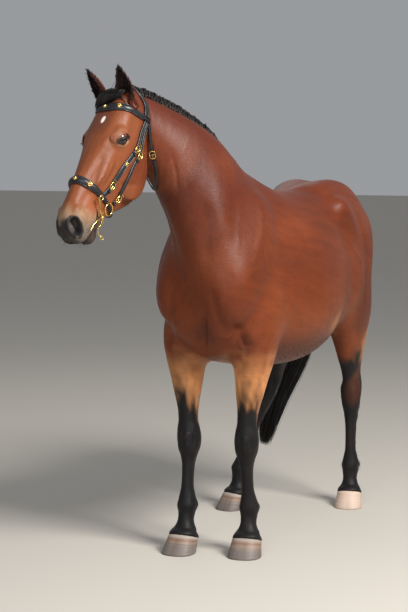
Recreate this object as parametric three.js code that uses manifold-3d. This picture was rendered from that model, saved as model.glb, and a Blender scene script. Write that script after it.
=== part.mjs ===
// A bay horse in a double bridle, standing alert with its head turned a little to the right.
// Millimetres. +X points forward out of the chest, +Y to the animal's left, +Z up.
// The origin lies on the ground under the middle of the bounding box.
import * as THREE from "three";
import { LoftGeometry } from "three/addons/geometries/LoftGeometry.js";
import { mergeVertices } from "three/addons/utils/BufferGeometryUtils.js";
import Module from "manifold-3d";

const wasm = await Module();
wasm.setup();

// ---------- driving sizes ----------

const SHIFT = new THREE.Vector3(-190.1, 92.2, 0); // puts the origin under the middle of the bounding box
const CUT_GAP = 0.6; // width of the thin cuts between named pieces

// Poll (the top of the head between the ears) and how the head is held.
const POLL = new THREE.Vector3(988, -197, 2036);
const HEAD_YAW = THREE.MathUtils.degToRad(-1.5);
const HEAD_PITCH = THREE.MathUtils.degToRad(57);
const HEAD_ROLL = THREE.MathUtils.degToRad(6.5);

// How far the hindquarters stand to the right of the shoulders' middle line, and where that begins to grow.
const SWAY = 60;
const SWAY_LENGTH = 900;

// The axis of each leg passes through these points, from the ground up: x, y and height; toe_out in degrees.
const LEGS = {
  fore_left: {
    kind: "fore",
    side: 1,
    toe_out: 15,
    axis: [[205, 438, 138], [510, 468, 140], [930, 446, 165]],
  },
  fore_right: {
    kind: "fore",
    side: -1,
    toe_out: -6,
    axis: [[205, 520, -138], [510, 492, -143], [930, 476, -172]],
  },
  hind_left: {
    kind: "hind",
    side: 1,
    toe_out: 18,
    axis: [[205, -718, 100], [590, -728, 100], [860, -772, 110], [1150, -835, 105]],
  },
  hind_right: {
    kind: "hind",
    side: -1,
    toe_out: 14,
    axis: [[205, -385, -362], [590, -560, -290], [860, -735, -236], [1150, -835, -205]],
  },
};

// ---------- profiles: each row is one station of the body ----------

// Trunk and neck, from the rump to the poll: top point x, y, z; bottom point x, y, z; how far up the section is
// widest; half width; roundness of the upper and the lower part
const BODY_ROWS = [
  [-912, 0, 1345, -912, 0, 1190, 0.45, 42, 2, 2],
  [-896, 0, 1425, -896, 0, 1110, 0.45, 100, 2, 2],
  [-860, 0, 1492, -860, 0, 1050, 0.45, 146, 1.9, 2],
  [-796, 0, 1552, -796, 0, 1005, 0.44, 192, 1.8, 2],
  [-700, 0, 1607, -700, 0, 965, 0.43, 228, 1.8, 2],
  [-600, 0, 1641, -600, 0, 925, 0.43, 250, 1.85, 2],
  [-500, 0, 1655, -500, 0, 886, 0.43, 262, 2, 2],
  [-400, 0, 1654, -400, 0, 848, 0.43, 270, 2.1, 2],
  [-280, 0, 1641, -280, 0, 814, 0.43, 286, 2.1, 2.1],
  [-150, 0, 1620, -150, 0, 796, 0.42, 304, 2.1, 2.1],
  [0, 0, 1618, 0, 0, 794, 0.41, 312, 2, 2.1],
  [115, 0, 1650, 120, 0, 803, 0.4, 300, 1.85, 2.1],
  [205, 0, 1684, 240, 0, 818, 0.4, 280, 1.7, 2.1],
  [280, 0, 1714, 360, 0, 836, 0.4, 260, 1.6, 2.1],
  [335, 0, 1742, 480, 0, 858, 0.4, 242, 1.6, 2.1],
  [385, 0, 1774, 584, 0, 892, 0.4, 224, 1.65, 2.1],
  [432, 0, 1808, 652, 0, 978, 0.38, 208, 1.65, 2.1],
  [482, -4, 1844, 690, 0, 1092, 0.38, 188, 1.65, 2.1],
  [535, -14, 1878, 706, -12, 1205, 0.4, 163, 1.7, 2.1],
  [592, -32, 1910, 720, -34, 1315, 0.46, 135, 1.8, 2.1],
  [655, -58, 1944, 740, -64, 1432, 0.48, 118, 1.8, 2.1],
  [722, -94, 1978, 766, -102, 1548, 0.5, 105, 1.8, 2.1],
  [798, -132, 2012, 798, -142, 1655, 0.5, 95, 1.8, 2.1],
  [882, -168, 2038, 846, -178, 1742, 0.5, 87, 1.8, 2.1],
  [970, -194, 2036, 925, -198, 1800, 0.5, 78, 2, 2.1],
];

// Head, along the face from the poll: t, forehead side, jaw side, level of the greatest width, half width,
// roundness of the two sides
const HEAD_ROWS = [
  [-46, -20, -90, -50, 40, 2, 2],
  [-25, 0, -122, -50, 62, 2, 2],
  [20, 14, -160, -50, 80, 2.1, 2],
  [71, 24, -214, -45, 91, 2.3, 1.9],
  [132, 33, -260, -40, 98, 2.5, 1.8],
  [194, 40, -302, -42, 98, 2.5, 1.75],
  [265, 44, -320, -48, 88, 2.3, 1.7],
  [336, 48, -302, -50, 78, 2.2, 1.7],
  [408, 52, -256, -45, 68, 2.1, 1.75],
  [460, 55, -208, -38, 60, 2.1, 1.8],
  [510, 57, -172, -32, 56, 2.1, 1.9],
  [560, 58, -150, -28, 57, 2.2, 2],
  [612, 59, -136, -28, 60, 2.3, 2],
  [650, 50, -114, -30, 55, 2.3, 2],
  [682, 27, -84, -30, 45, 2.1, 2],
  [702, 0, -54, -28, 24, 2, 2],
];

// Legs: height, front and back of the leg from its axis, half width
const FORE_ROWS = [
  [40, 140, -24, 56],
  [88, 92, -32, 55],
  [130, 55, -34, 39],
  [170, 41, -48, 40],
  [205, 46, -58, 47],
  [240, 39, -49, 39],
  [285, 33, -40, 30],
  [380, 33, -40, 29.5],
  [425, 38, -46, 38],
  [465, 51, -58, 52],
  [510, 56, -62, 56],
  [550, 52, -54, 52],
  [590, 47, -49, 46],
  [650, 50, -56, 50],
  [720, 62, -72, 62],
  [800, 80, -98, 74],
  [870, 98, -122, 86],
  [930, 112, -136, 90],
  [1000, 112, -128, 82],
  [1060, 90, -104, 62],
];
const HIND_ROWS = [
  [40, 122, -38, 54],
  [85, 80, -40, 52],
  [130, 47, -42, 38],
  [170, 39, -53, 41],
  [205, 43, -60, 45],
  [245, 36, -49, 38],
  [290, 33, -42, 29],
  [400, 33, -43, 28],
  [470, 40, -49, 36],
  [520, 53, -55, 46],
  [570, 63, -60, 51],
  [612, 71, -65, 49],
  [645, 80, -72, 41],
  [668, 93, -66, 40],
  [700, 110, -48, 43],
  [760, 152, -32, 54],
  [850, 214, -24, 72],
  [930, 276, -30, 86],
  [985, 304, -34, 92],
  [1040, 304, -26, 92],
  [1120, 262, 4, 80],
  [1180, 220, 36, 62],
];
const LEG_ROUND = 2.2;

// ---------- small maths ----------

// Smooth interpolation of rows by their first column.
function profile(rows) {
  const slopes = rows.map((row, i) => {
    const a = rows[Math.max(i - 1, 0)];
    const b = rows[Math.min(i + 1, rows.length - 1)];
    return row.map((_, k) => (b[k] - a[k]) / (b[0] - a[0]));
  });
  return (t) => {
    let i = 0;
    while (i < rows.length - 2 && t > rows[i + 1][0]) i += 1;
    const span = rows[i + 1][0] - rows[i][0];
    const u = Math.min(Math.max((t - rows[i][0]) / span, 0), 1);
    const h1 = u * u * (3 - 2 * u);
    const m0 = u * (1 - u) * (1 - u) * span;
    const m1 = -u * u * (1 - u) * span;
    return rows[i].map((v, k) => v + (rows[i + 1][k] - v) * h1 + slopes[i][k] * m0 + slopes[i + 1][k] * m1);
  };
}

const smoothUnion = (a, b, k) => {
  const h = Math.max(k - Math.abs(a - b), 0) / k;
  return Math.min(a, b) - (h * h * k) / 4;
};

// Distance from a rounded section: p sideways, q upwards from the level of its greatest width.
function sectionDistance(p, q, half, up, down, topRound, bottomRound) {
  const e = q > 0 ? topRound : bottomRound;
  const reach = q > 0 ? up : down;
  const u = Math.abs(p) / half + 1e-9;
  const v = Math.abs(q) / reach + 1e-9;
  const rho = (u ** e + v ** e) ** (1 / e);
  if (rho < 1e-4) return -Math.min(half, reach);
  const slope = Math.hypot((u / rho) ** (e - 1) / half, (v / rho) ** (e - 1) / reach);
  return (rho - 1) / slope;
}

// The same section's outline point at angle a.
function sectionPoint(a, half, up, down, topRound, bottomRound) {
  const c = Math.cos(a);
  const s = Math.sin(a);
  const e = s > 0 ? topRound : bottomRound;
  const reach = s > 0 ? up : down;
  return [half * Math.sign(c) * Math.abs(c) ** (2 / e), reach * Math.sign(s) * Math.abs(s) ** (2 / e)];
}

const beyond = (d, outside) => (d > 0 ? Math.hypot(d, outside) : Math.max(d, outside));
const sway = (x) => -SWAY * Math.min(Math.max(-x / SWAY_LENGTH, 0), 1.2) ** 1.5;

// ---------- trunk and neck ----------

const bodyAt = profile(BODY_ROWS.map((row, i) => [i, ...row]));
const BODY_LAST = BODY_ROWS.length - 1;
// A section across the trunk or neck, with its middle, its upward and sideways directions and its plane's normal.
function bodySection(t) {
  const [, cx, cy, cz, bx, by, bz, level, half, topRound, bottomRound] = bodyAt(t);
  const top = new THREE.Vector3(cx, cy + sway(cx), cz);
  const bottom = new THREE.Vector3(bx, by + sway(bx), bz);
  const up = top.clone().sub(bottom);
  const height = up.length();
  up.normalize();
  const [, ax, ay, az, dx, dy, dz] = bodyAt(Math.max(t - 0.25, 0));
  const [, ex, ey, ez, fx, fy, fz] = bodyAt(Math.min(t + 0.25, BODY_LAST));
  const along = new THREE.Vector3(ex + fx - ax - dx, ey + fy - ay - dy, ez + fz - az - dz);
  const side = new THREE.Vector3().crossVectors(up, along).normalize();
  const normal = new THREE.Vector3().crossVectors(side, up).normalize();
  const middle = bottom.addScaledVector(up, height * level);
  return { middle, up, side, normal, half, above: height * (1 - level), below: height * level, topRound, bottomRound };
}
const BODY_STEPS = 2;
const bodySections = [];
for (let i = 0; i <= BODY_LAST * BODY_STEPS; i += 1) bodySections.push(bodySection(i / BODY_STEPS));

function inSection(s, x, y, z) {
  const dx = x - s.middle.x;
  const dy = y - s.middle.y;
  const dz = z - s.middle.z;
  const p = dx * s.side.x + dy * s.side.y + dz * s.side.z;
  const q = dx * s.up.x + dy * s.up.y + dz * s.up.z;
  return sectionDistance(p, q, s.half, s.above, s.below, s.topRound, s.bottomRound);
}
const ahead = (s, x, y, z) =>
  (x - s.middle.x) * s.normal.x + (y - s.middle.y) * s.normal.y + (z - s.middle.z) * s.normal.z;
function columnField(x, y, z) {
  let previous = ahead(bodySections[0], x, y, z);
  if (previous < 0) return beyond(inSection(bodySections[0], x, y, z), -previous);
  for (let i = 1; i < bodySections.length; i += 1) {
    const g = ahead(bodySections[i], x, y, z);
    if (g < 0) {
      const u = previous / (previous - g);
      const a = inSection(bodySections[i - 1], x, y, z);
      return a + (inSection(bodySections[i], x, y, z) - a) * u;
    }
    previous = g;
  }
  return beyond(inSection(bodySections[bodySections.length - 1], x, y, z), previous);
}

// Rounded masses: an ellipsoid by middle, the direction of its long axis, and its radii along it, sideways (y)
// and across. Bounded by a distance estimate that is right near its surface.
function mass(middle, axis, radii, blend) {
  const a = new THREE.Vector3(...axis).normalize();
  const side = new THREE.Vector3(0, 1, 0).addScaledVector(a, -a.y).normalize();
  const across = new THREE.Vector3().crossVectors(a, side);
  return { middle, a, side, across, radii, blend };
}
function massField(m, x, y, z) {
  const dx = x - m.middle[0];
  const dy = y - m.middle[1];
  const dz = z - m.middle[2];
  const u = (dx * m.a.x + dy * m.a.y + dz * m.a.z) / m.radii[0];
  const v = (dx * m.side.x + dy * m.side.y + dz * m.side.z) / m.radii[1];
  const w = (dx * m.across.x + dy * m.across.y + dz * m.across.z) / m.radii[2];
  const k0 = Math.hypot(u, v, w);
  const k1 = Math.hypot(u / m.radii[0], v / m.radii[1], w / m.radii[2]);
  return k1 < 1e-9 ? -Math.min(...m.radii) : (k0 * (k0 - 1)) / k1;
}

// Muscles and bony points of the trunk, on both sides of its middle line.
const TRUNK_MASSES = [
  mass([470, 126, 1340], [-0.5, 0, 0.86], [260, 94, 120], 90), // shoulder blade
  mass([594, 138, 1205], [0.3, 0, -1], [155, 82, 94], 100), // point of the shoulder
  mass([602, 70, 1090], [0.1, 0, -1], [120, 66, 76], 55), // breast
  mass([395, 195, 1075], [0.5, 0, -0.6], [165, 70, 110], 60), // triceps
  mass([-420, 182, 1490], [0.6, 0.3, 0.4], [105, 56, 58], 110), // point of the hip
  mass([-540, 90, 1560], [1, 0, 0.05], [250, 84, 100], 45), // loin and top of the rump
  mass([-650, 125, 1410], [1, 0, 0.2], [230, 108, 160], 90), // rump muscle
  mass([-748, 134, 1195], [0.22, 0, -1], [270, 96, 128], 85), // back of the thigh
  mass([-560, 168, 1110], [0.5, 0, 0.85], [200, 82, 125], 80), // front of the thigh
];
function trunkField(x, y, z) {
  let d = columnField(x, y, z);
  const side = Math.abs(y - sway(x));
  for (const m of TRUNK_MASSES) d = smoothUnion(d, massField(m, x, side, z), m.blend);
  return d;
}

// ---------- head ----------

// The head's own frame: A runs down the face, N out of the forehead, S to the left.
const headFrame = (() => {
  const forward = new THREE.Vector3(Math.cos(HEAD_YAW), Math.sin(HEAD_YAW), 0);
  const left = new THREE.Vector3(-forward.y, forward.x, 0);
  const up = new THREE.Vector3(0, 0, 1);
  const A = forward.clone().multiplyScalar(Math.cos(HEAD_PITCH)).addScaledVector(up, -Math.sin(HEAD_PITCH));
  const N0 = forward.clone().multiplyScalar(Math.sin(HEAD_PITCH)).addScaledVector(up, Math.cos(HEAD_PITCH));
  const S = left.clone().multiplyScalar(Math.cos(HEAD_ROLL)).addScaledVector(N0, Math.sin(HEAD_ROLL));
  const N = N0.clone().multiplyScalar(Math.cos(HEAD_ROLL)).addScaledVector(left, -Math.sin(HEAD_ROLL));
  return { A, N, S };
})();
const fromHead = (t, n, s) =>
  POLL.clone().addScaledVector(headFrame.A, t).addScaledVector(headFrame.N, n).addScaledVector(headFrame.S, s);
function toHead(x, y, z) {
  const dx = x - POLL.x;
  const dy = y - POLL.y;
  const dz = z - POLL.z;
  const { A, N, S } = headFrame;
  return [
    dx * A.x + dy * A.y + dz * A.z,
    dx * N.x + dy * N.y + dz * N.z,
    dx * S.x + dy * S.y + dz * S.z,
  ];
}

const headAt = profile(HEAD_ROWS);
const HEAD_ENDS = [HEAD_ROWS[0][0], HEAD_ROWS[HEAD_ROWS.length - 1][0]];
function skullField(t, n, s) {
  const inside = Math.min(Math.max(t, HEAD_ENDS[0]), HEAD_ENDS[1]);
  const [, top, bottom, mid, half, topRound, bottomRound] = headAt(inside);
  const d = sectionDistance(s, n - mid, half, top - mid, mid - bottom, topRound, bottomRound);
  return t === inside ? d : beyond(d, Math.abs(t - inside));
}
// Masses in the head's frame, on both sides.
const HEAD_MASSES = [
  mass([211, 84, -18], [1, 0, 0], [46, 26, 32], 22), // rim of the eye socket
  mass([278, 60, -172], [0.9, 0, -0.42], [125, 26, 98], 30), // cheek
  mass([336, 62, -24], [1, 0, 0.12], [112, 14, 16], 20), // facial crest
  mass([604, 42, 2], [0.6, 0, -0.8], [45, 20, 30], 16), // wing of the nostril
  mass([622, 8, -118], [0.9, 0, -0.2], [40, 34, 26], 16), // chin
  mass([570, 34, -60], [1, 0, 0], [60, 26, 36], 24), // lips
  mass([20, 34, -12], [1, 0, 0.2], [60, 36, 30], 30), // root of the ear
];
function headField(x, y, z) {
  const [t, n, s] = toHead(x, y, z);
  let d = skullField(t, n, s);
  for (const m of HEAD_MASSES) d = smoothUnion(d, massField(m, t, Math.abs(s), n), m.blend);
  return d;
}

// ---------- legs ----------

const legAt = { fore: profile(FORE_ROWS), hind: profile(HIND_ROWS) };
const legEnds = {
  fore: [FORE_ROWS[0][0], FORE_ROWS[FORE_ROWS.length - 1][0]],
  hind: [HIND_ROWS[0][0], HIND_ROWS[HIND_ROWS.length - 1][0]],
};
const FETLOCK = 205; // height below which a foot turns out
const TURN_FADE = 150;
for (const leg of Object.values(LEGS)) leg.axisAt = profile(leg.axis);
// A leg's section at a height: its middle, its forward direction, half length and half width.
function legSection(leg, z) {
  const [, front, back, half] = legAt[leg.kind](z);
  const top = leg.axis[leg.axis.length - 1][0];
  const [, x, y] = leg.axisAt(Math.min(Math.max(z, FETLOCK), top));
  const share = Math.min(Math.max((FETLOCK + TURN_FADE - z) / TURN_FADE, 0), 1);
  const turn = THREE.MathUtils.degToRad(leg.toe_out * leg.side * share);
  const centre = (front + back) / 2;
  return {
    x: x + centre * Math.cos(turn),
    y: y + centre * Math.sin(turn),
    forward: [Math.cos(turn), Math.sin(turn)],
    length: (front - back) / 2,
    half,
  };
}
function legField(leg, x, y, z) {
  const [low, high] = legEnds[leg.kind];
  const level = Math.min(Math.max(z, low), high);
  const s = legSection(leg, level);
  const dx = x - s.x;
  const dy = y - s.y;
  const [fx, fy] = s.forward;
  const d = sectionDistance(dy * fx - dx * fy, dx * fx + dy * fy, s.half, s.length, s.length, LEG_ROUND, LEG_ROUND);
  return level === z ? d : beyond(d, Math.abs(z - level));
}
const legsField = (x, y, z) => Math.min(...Object.values(LEGS).map((leg) => legField(leg, x, y, z)));

const HEAD_BLEND = 40;
const LEG_BLEND = 60;
function fleshField(x, y, z) {
  const d = smoothUnion(trunkField(x, y, z), headField(x, y, z), HEAD_BLEND);
  return smoothUnion(d, legsField(x, y, z), LEG_BLEND);
}

// ---------- solids ----------

// How far along a ray from a point inside the body its surface lies.
function surfaceAlong(field, from, ray, start, furthest) {
  const at = (r) => field(from.x + ray.x * r, from.y + ray.y * r, from.z + ray.z * r);
  let low = start;
  let d = at(low);
  while (d > 0 && low > 1) {
    low -= Math.max(d, 2);
    if (low < 0) low = 0.5;
    d = at(low);
  }
  let high = low;
  while (d < 0 && high < furthest) {
    low = high;
    high += Math.max(-d * 0.7, 2);
    d = at(high);
  }
  if (d < 0) return furthest;
  for (let i = 0; i < 7; i += 1) {
    const half = (low + high) / 2;
    if (at(half) < 0) low = half;
    else high = half;
  }
  return low;
}
const FILLET = 70; // furthest that blending with a neighbour may lift a surface
// Moves an outline point along its ray onto the blended body, or onto its own part where a neighbour covers it.
function ontoFlesh(own, middle, point) {
  const ray = point.clone().sub(middle);
  const reach = ray.length();
  ray.normalize();
  const bare = surfaceAlong(own, middle, ray, reach * 0.8, reach * 2 + 60);
  const blended = surfaceAlong(fleshField, middle, ray, bare * 0.97, bare + FILLET + 10);
  return middle.clone().addScaledVector(ray, blended > bare + FILLET ? bare * 0.98 : blended);
}

const ring = (count, make) => Array.from({ length: count }, (_, i) => make((i / count) * 2 * Math.PI));
const steps = (from, to, count) => Array.from({ length: count + 1 }, (_, i) => from + ((to - from) * i) / count);

function closed(geometry) {
  geometry.deleteAttribute("normal");
  geometry.deleteAttribute("uv");
  const merged = mergeVertices(geometry, 1e-3);
  const index = merged.index.array;
  const kept = [];
  for (let i = 0; i < index.length; i += 3) {
    const [a, b, c] = index.slice(i, i + 3);
    if (a !== b && b !== c && a !== c) kept.push(a, b, c);
  }
  const solid = new wasm.Manifold(
    new wasm.Mesh({ numProp: 3, vertProperties: merged.attributes.position.array, triVerts: new Uint32Array(kept) }),
  );
  if (solid.volume() > 0) return solid;
  for (let i = 0; i < kept.length; i += 3) [kept[i + 1], kept[i + 2]] = [kept[i + 2], kept[i + 1]];
  return new wasm.Manifold(
    new wasm.Mesh({ numProp: 3, vertProperties: merged.attributes.position.array, triVerts: new Uint32Array(kept) }),
  );
}
// Skins a row of rings, whichever way round they are wound.
function loft(sections) {
  const [first, second] = sections;
  const onward = second[0].clone().sub(first[0]);
  const turn = new THREE.Vector3();
  first.forEach((point, i) => {
    const a = point.clone().sub(first[0]);
    turn.add(a.cross(first[(i + 1) % first.length].clone().sub(first[0])));
  });
  const wound = turn.dot(onward) > 0 ? sections : sections.map((section) => section.slice().reverse());
  return closed(new LoftGeometry(wound, { capStart: true, capEnd: true }));
}

function bodySolid() {
  return loft(
    steps(0, BODY_LAST, BODY_LAST).map((t) => {
      const s = bodySection(t);
      return ring(16, (a) => {
        const [p, q] = sectionPoint(a, s.half, s.above, s.below, s.topRound, s.bottomRound);
        const point = s.middle.clone().addScaledVector(s.side, p).addScaledVector(s.up, q);
        return ontoFlesh(trunkField, s.middle, point);
      });
    }),
  );
}
function headSolid() {
  return loft(
    steps(HEAD_ENDS[0], HEAD_ENDS[1], 17).map((t) => {
      const [, top, bottom, mid, half, topRound, bottomRound] = headAt(t);
      const middle = fromHead(t, mid, 0);
      return ring(16, (a) => {
        const [p, q] = sectionPoint(a, half, top - mid, mid - bottom, topRound, bottomRound);
        return ontoFlesh(headField, middle, fromHead(t, mid + q, p));
      });
    }),
  );
}
function legSolid(leg) {
  const rows = leg.kind === "fore" ? FORE_ROWS : HIND_ROWS;
  const own = (x, y, z) => legField(leg, x, y, z);
  const levels = rows.filter((_, i) => i % 3 !== 2);
  return loft(
    levels.map(([z]) => {
      const s = legSection(leg, z);
      const middle = new THREE.Vector3(s.x, s.y, z);
      const [fx, fy] = s.forward;
      return ring(10, (a) => {
        const [p, q] = sectionPoint(a, s.half, s.length, s.length, LEG_ROUND, LEG_ROUND);
        return ontoFlesh(own, middle, new THREE.Vector3(s.x + q * fx - p * fy, s.y + q * fy + p * fx, z));
      });
    }),
  );
}

// ---------- cutting the flesh into named pieces ----------

// A block whose back face passes through a point and looks ahead along a direction. It reaches so far ahead, so
// far sideways and from low to high along the face, and margin grows it all round.
function block(point, ahead, reach, width, low, high, margin) {
  const x = ahead.clone().normalize();
  const side = new THREE.Vector3(0, 0, 1).cross(x).normalize();
  const up = new THREE.Vector3().crossVectors(x, side);
  const geometry = new THREE.BoxGeometry(reach + 2 * margin, width + 2 * margin, high - low + 2 * margin);
  geometry.translate(reach / 2, 0, (low + high) / 2);
  geometry.applyMatrix4(new THREE.Matrix4().makeBasis(x, side, up).setPosition(point));
  return closed(geometry);
}
const biggest = (solid) => solid.decompose().reduce((a, b) => (a.volume() > b.volume() ? a : b));

const WIDE = 1600; // wider and longer than the body, for blocks that only one face of cuts
const LEG_CUTS = {
  fore: { back: 310, pieces: [["pastern", 0, 245], ["cannon", 245, 440], ["knee", 440, 570], ["forearm", 570, 826]] },
  hind: { back: -1100, pieces: [["pastern", 0, 245], ["cannon", 245, 470], ["hock", 470, 655], ["gaskin", 655, 862]] },
};
const LEG_REACH = { fore: 600, hind: 620 }; // from the back of its blocks to beyond the leg's upper pieces
const FOOT_REACH = 300; // further again for the blocks of the lower pieces
const UPPER_PIECE = 600; // height from which a block keeps clear of the belly

// ---------- hooves ----------

// From the leg's axis: toe and heel on the ground and at the coronet, half widths, coronet heights at toe and heel
const HOOVES = {
  fore: { toe: 162, heel: 12, half: 76, topToe: 92, topHeel: -34, topHalf: 62, front: 88, back: 46 },
  hind: { toe: 142, heel: 0, half: 69, topToe: 80, topHeel: -44, topHalf: 58, front: 88, back: 48 },
};
const HOOF_ROUND = 2.3;
function hoofPlane(leg) {
  const h = HOOVES[leg.kind];
  const turn = THREE.MathUtils.degToRad(leg.toe_out * leg.side);
  const [, x, y] = leg.axisAt(FETLOCK);
  const forward = new THREE.Vector3(Math.cos(turn), Math.sin(turn), 0);
  const left = new THREE.Vector3(-forward.y, forward.x, 0);
  const slope = (h.front - h.back) / (h.topToe - h.topHeel);
  const at = (p, q, z) => new THREE.Vector3(x, y, z).addScaledVector(forward, q).addScaledVector(left, p);
  return { h, forward, slope, at };
}
function hoof(leg) {
  const { h, slope, at } = hoofPlane(leg);
  return loft(
    [0, 0.04, 0.85, 1].map((u) => {
      const mix = (a, b) => a + (b - a) * u;
      const swell = u === 0.85 ? 2 : 0;
      const toe = mix(h.toe, h.topToe) + swell - (u === 0 ? 3 : 0);
      const heel = mix(h.heel, h.topHeel);
      const half = mix(h.half, h.topHalf) + swell - (u === 0 ? 3 : 0);
      return ring(12, (a) => {
        const length = (toe - heel) / 2;
        const [p, q] = sectionPoint(a, half, length, length, HOOF_ROUND, HOOF_ROUND);
        const ahead = (toe + heel) / 2 + q;
        return at(p, ahead, u * (h.back + slope * (ahead - h.topHeel)));
      });
    }),
  );
}
// Everything below the coronet of one foot.
function belowCoronet(leg) {
  const { h, slope, at } = hoofPlane(leg);
  const turn = THREE.MathUtils.degToRad(leg.toe_out * leg.side);
  const geometry = new THREE.BoxGeometry(400, 300, 300);
  geometry.translate(0, 0, -150 + CUT_GAP);
  geometry.rotateY(-Math.atan(slope));
  geometry.rotateZ(turn);
  const middle = (h.topToe + h.topHeel) / 2;
  geometry.translate(...at(0, middle, (h.front + h.back) / 2).toArray());
  return closed(geometry);
}

// ---------- eyes and ears ----------

const EYE = { t: 216, n: -23, s: 84, radius: 29 };
function eye(side, margin) {
  const geometry = new THREE.SphereGeometry(EYE.radius + margin, 10, 6);
  geometry.translate(...fromHead(EYE.t, EYE.n, EYE.s * side).toArray());
  return closed(geometry);
}

// Each ear stands on its root and is a pointed leaf, hollow in front: share of its length, half width, half depth
const EAR_ROWS = [
  [-0.2, 25, 20],
  [0, 27, 22],
  [0.15, 29, 22],
  [0.35, 32, 20],
  [0.55, 29, 17],
  [0.75, 20, 12],
  [0.9, 11, 7.5],
  [1, 3, 3],
];
const EARS = {
  ear_left: { root: [34, -34, 56], towards: [0.29, -0.12, 0.95], opens: [0.9, 0.35, -0.2], length: 164 },
  ear_right: { root: [20, -16, -76], towards: [0.41, -0.19, 0.89], opens: [0.9, -0.4, -0.2], length: 149 },
};
const EAR_HOLLOW = 0.75; // depth of the hollow as a share of the half depth
const EAR_CURL = 14; // how far the tip bends forward
function ear({ root, towards, opens, length }, margin) {
  const foot = fromHead(...root);
  const up = new THREE.Vector3(...towards).normalize();
  const front = new THREE.Vector3(...opens);
  front.addScaledVector(up, -front.dot(up)).normalize();
  const side = new THREE.Vector3().crossVectors(up, front);
  return loft(
    EAR_ROWS.map(([share, half, depth]) => {
      const height = length * share + (share < 0 ? -margin : 0) + (share === 1 ? margin : 0);
      const middle = foot.clone().addScaledVector(up, height).addScaledVector(front, EAR_CURL * share * share);
      const open = margin > 0 ? 0 : Math.min(Math.max(share * 6 - 0.3, 0), 1) * EAR_HOLLOW;
      return ring(10, (a) => {
        const c = Math.cos(a);
        const q = Math.sin(a) > 0 ? Math.sin(a) * (1 - 1.7 * open * (1 - c * c)) : Math.sin(a);
        const out = middle.clone().addScaledVector(side, (half + margin) * c);
        return out.addScaledVector(front, (depth + margin) * q);
      });
    }),
  );
}

// ---------- mane, forelock and tail ----------

// Along the crest, by section number of the neck: height above the crest, length down the right side, thickness
const MANE_ROWS = [
  [14.5, 6, 40, 8],
  [15.5, 12, 85, 14],
  [17, 24, 130, 22],
  [18.5, 32, 160, 26],
  [20, 35, 175, 28],
  [21.5, 35, 175, 28],
  [22.7, 33, 160, 27],
  [23.5, 30, 130, 24],
];
const MANE_ACROSS = 3;
function mane(margin) {
  return loft(
    MANE_ROWS.map(([t, rise, fall, thick], row) => {
      const s = bodySection(t);
      const edge = (row === 0 ? -1 : 0) * margin + (row === MANE_ROWS.length - 1 ? margin : 0);
      const shift = s.normal.clone().multiplyScalar(edge);
      const inner = [];
      const outer = [];
      for (let i = 0; i <= MANE_ACROSS; i += 1) {
        const down = (i / MANE_ACROSS) * fall - (i === 0 ? 8 : 0) - (i === 0 ? margin : 0);
        const beside = -Math.sin(Math.min(down / s.half, 1.2)) * s.half * 0.8;
        const start = s.middle.clone().addScaledVector(s.side, down < 0 ? -down : beside);
        start.addScaledVector(s.up, s.above * 1.02 - Math.max(down, 0) * 0.62);
        const skin = ontoSurface(fleshField, start);
        const share = i / MANE_ACROSS;
        const lift = rise * (1 - share) + thick * share * (share > 0.9 ? 0.5 : 1);
        inner.push(skin.point.clone().addScaledVector(skin.normal, 1 - margin).add(shift));
        const away = skin.normal.clone().lerp(s.up, (1 - share) * 0.7).normalize();
        outer.push(skin.point.clone().addScaledVector(away, lift + margin).add(shift));
      }
      return [...inner, ...outer.reverse()];
    }),
  );
}

// Down the tail: x, y, z of its middle, half thickness along the body and half width across it
const TAIL_ROWS = [
  [-868, -48, 1516, 34, 38],
  [-914, -54, 1500, 38, 42],
  [-942, -66, 1438, 42, 52],
  [-954, -100, 1330, 46, 62],
  [-957, -153, 1200, 50, 74],
  [-945, -220, 1030, 56, 88],
  [-922, -289, 860, 62, 98],
  [-900, -348, 700, 62, 104],
  [-885, -402, 540, 52, 80],
  [-872, -438, 400, 40, 56],
  [-864, -460, 300, 28, 37],
  [-860, -472, 232, 14, 16],
];
function tail(margin) {
  const path = new THREE.CatmullRomCurve3(TAIL_ROWS.map(([x, y, z]) => new THREE.Vector3(x, y, z)));
  const last = TAIL_ROWS.length - 1;
  return loft(
    TAIL_ROWS.map(([x, y, z, thick, wide], i) => {
      const along = path.getTangent(i / last);
      const across = new THREE.Vector3(0, 1, 0).addScaledVector(along, -along.y).normalize();
      const back = new THREE.Vector3().crossVectors(along, across);
      const middle = new THREE.Vector3(x, y, z).addScaledVector(along, i === 0 ? -margin : 0);
      return ring(10, (a) =>
        middle
          .clone()
          .addScaledVector(across, (wide + margin) * Math.cos(a))
          .addScaledVector(back, (thick + margin) * Math.sin(a)),
      );
    }),
  );
}

// ---------- straps that lie on the skin ----------

function normalAt(field, p) {
  const h = 1;
  const d = field(p.x, p.y, p.z);
  const g = new THREE.Vector3(
    field(p.x + h, p.y, p.z) - d,
    field(p.x, p.y + h, p.z) - d,
    field(p.x, p.y, p.z + h) - d,
  );
  return { d, g: g.divideScalar(h) };
}
// The nearest point of a surface and its outward normal there.
function ontoSurface(field, from) {
  const point = from.clone();
  let normal = new THREE.Vector3();
  for (let i = 0; i < 6; i += 1) {
    const { d, g } = normalAt(field, point);
    const slope = Math.max(g.lengthSq(), 0.05);
    point.addScaledVector(g, -Math.min(Math.max(d / slope, -30), 30));
    normal = g.normalize();
  }
  return { point, normal };
}
const STATION = 42; // length of strap between two of its sections
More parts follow.
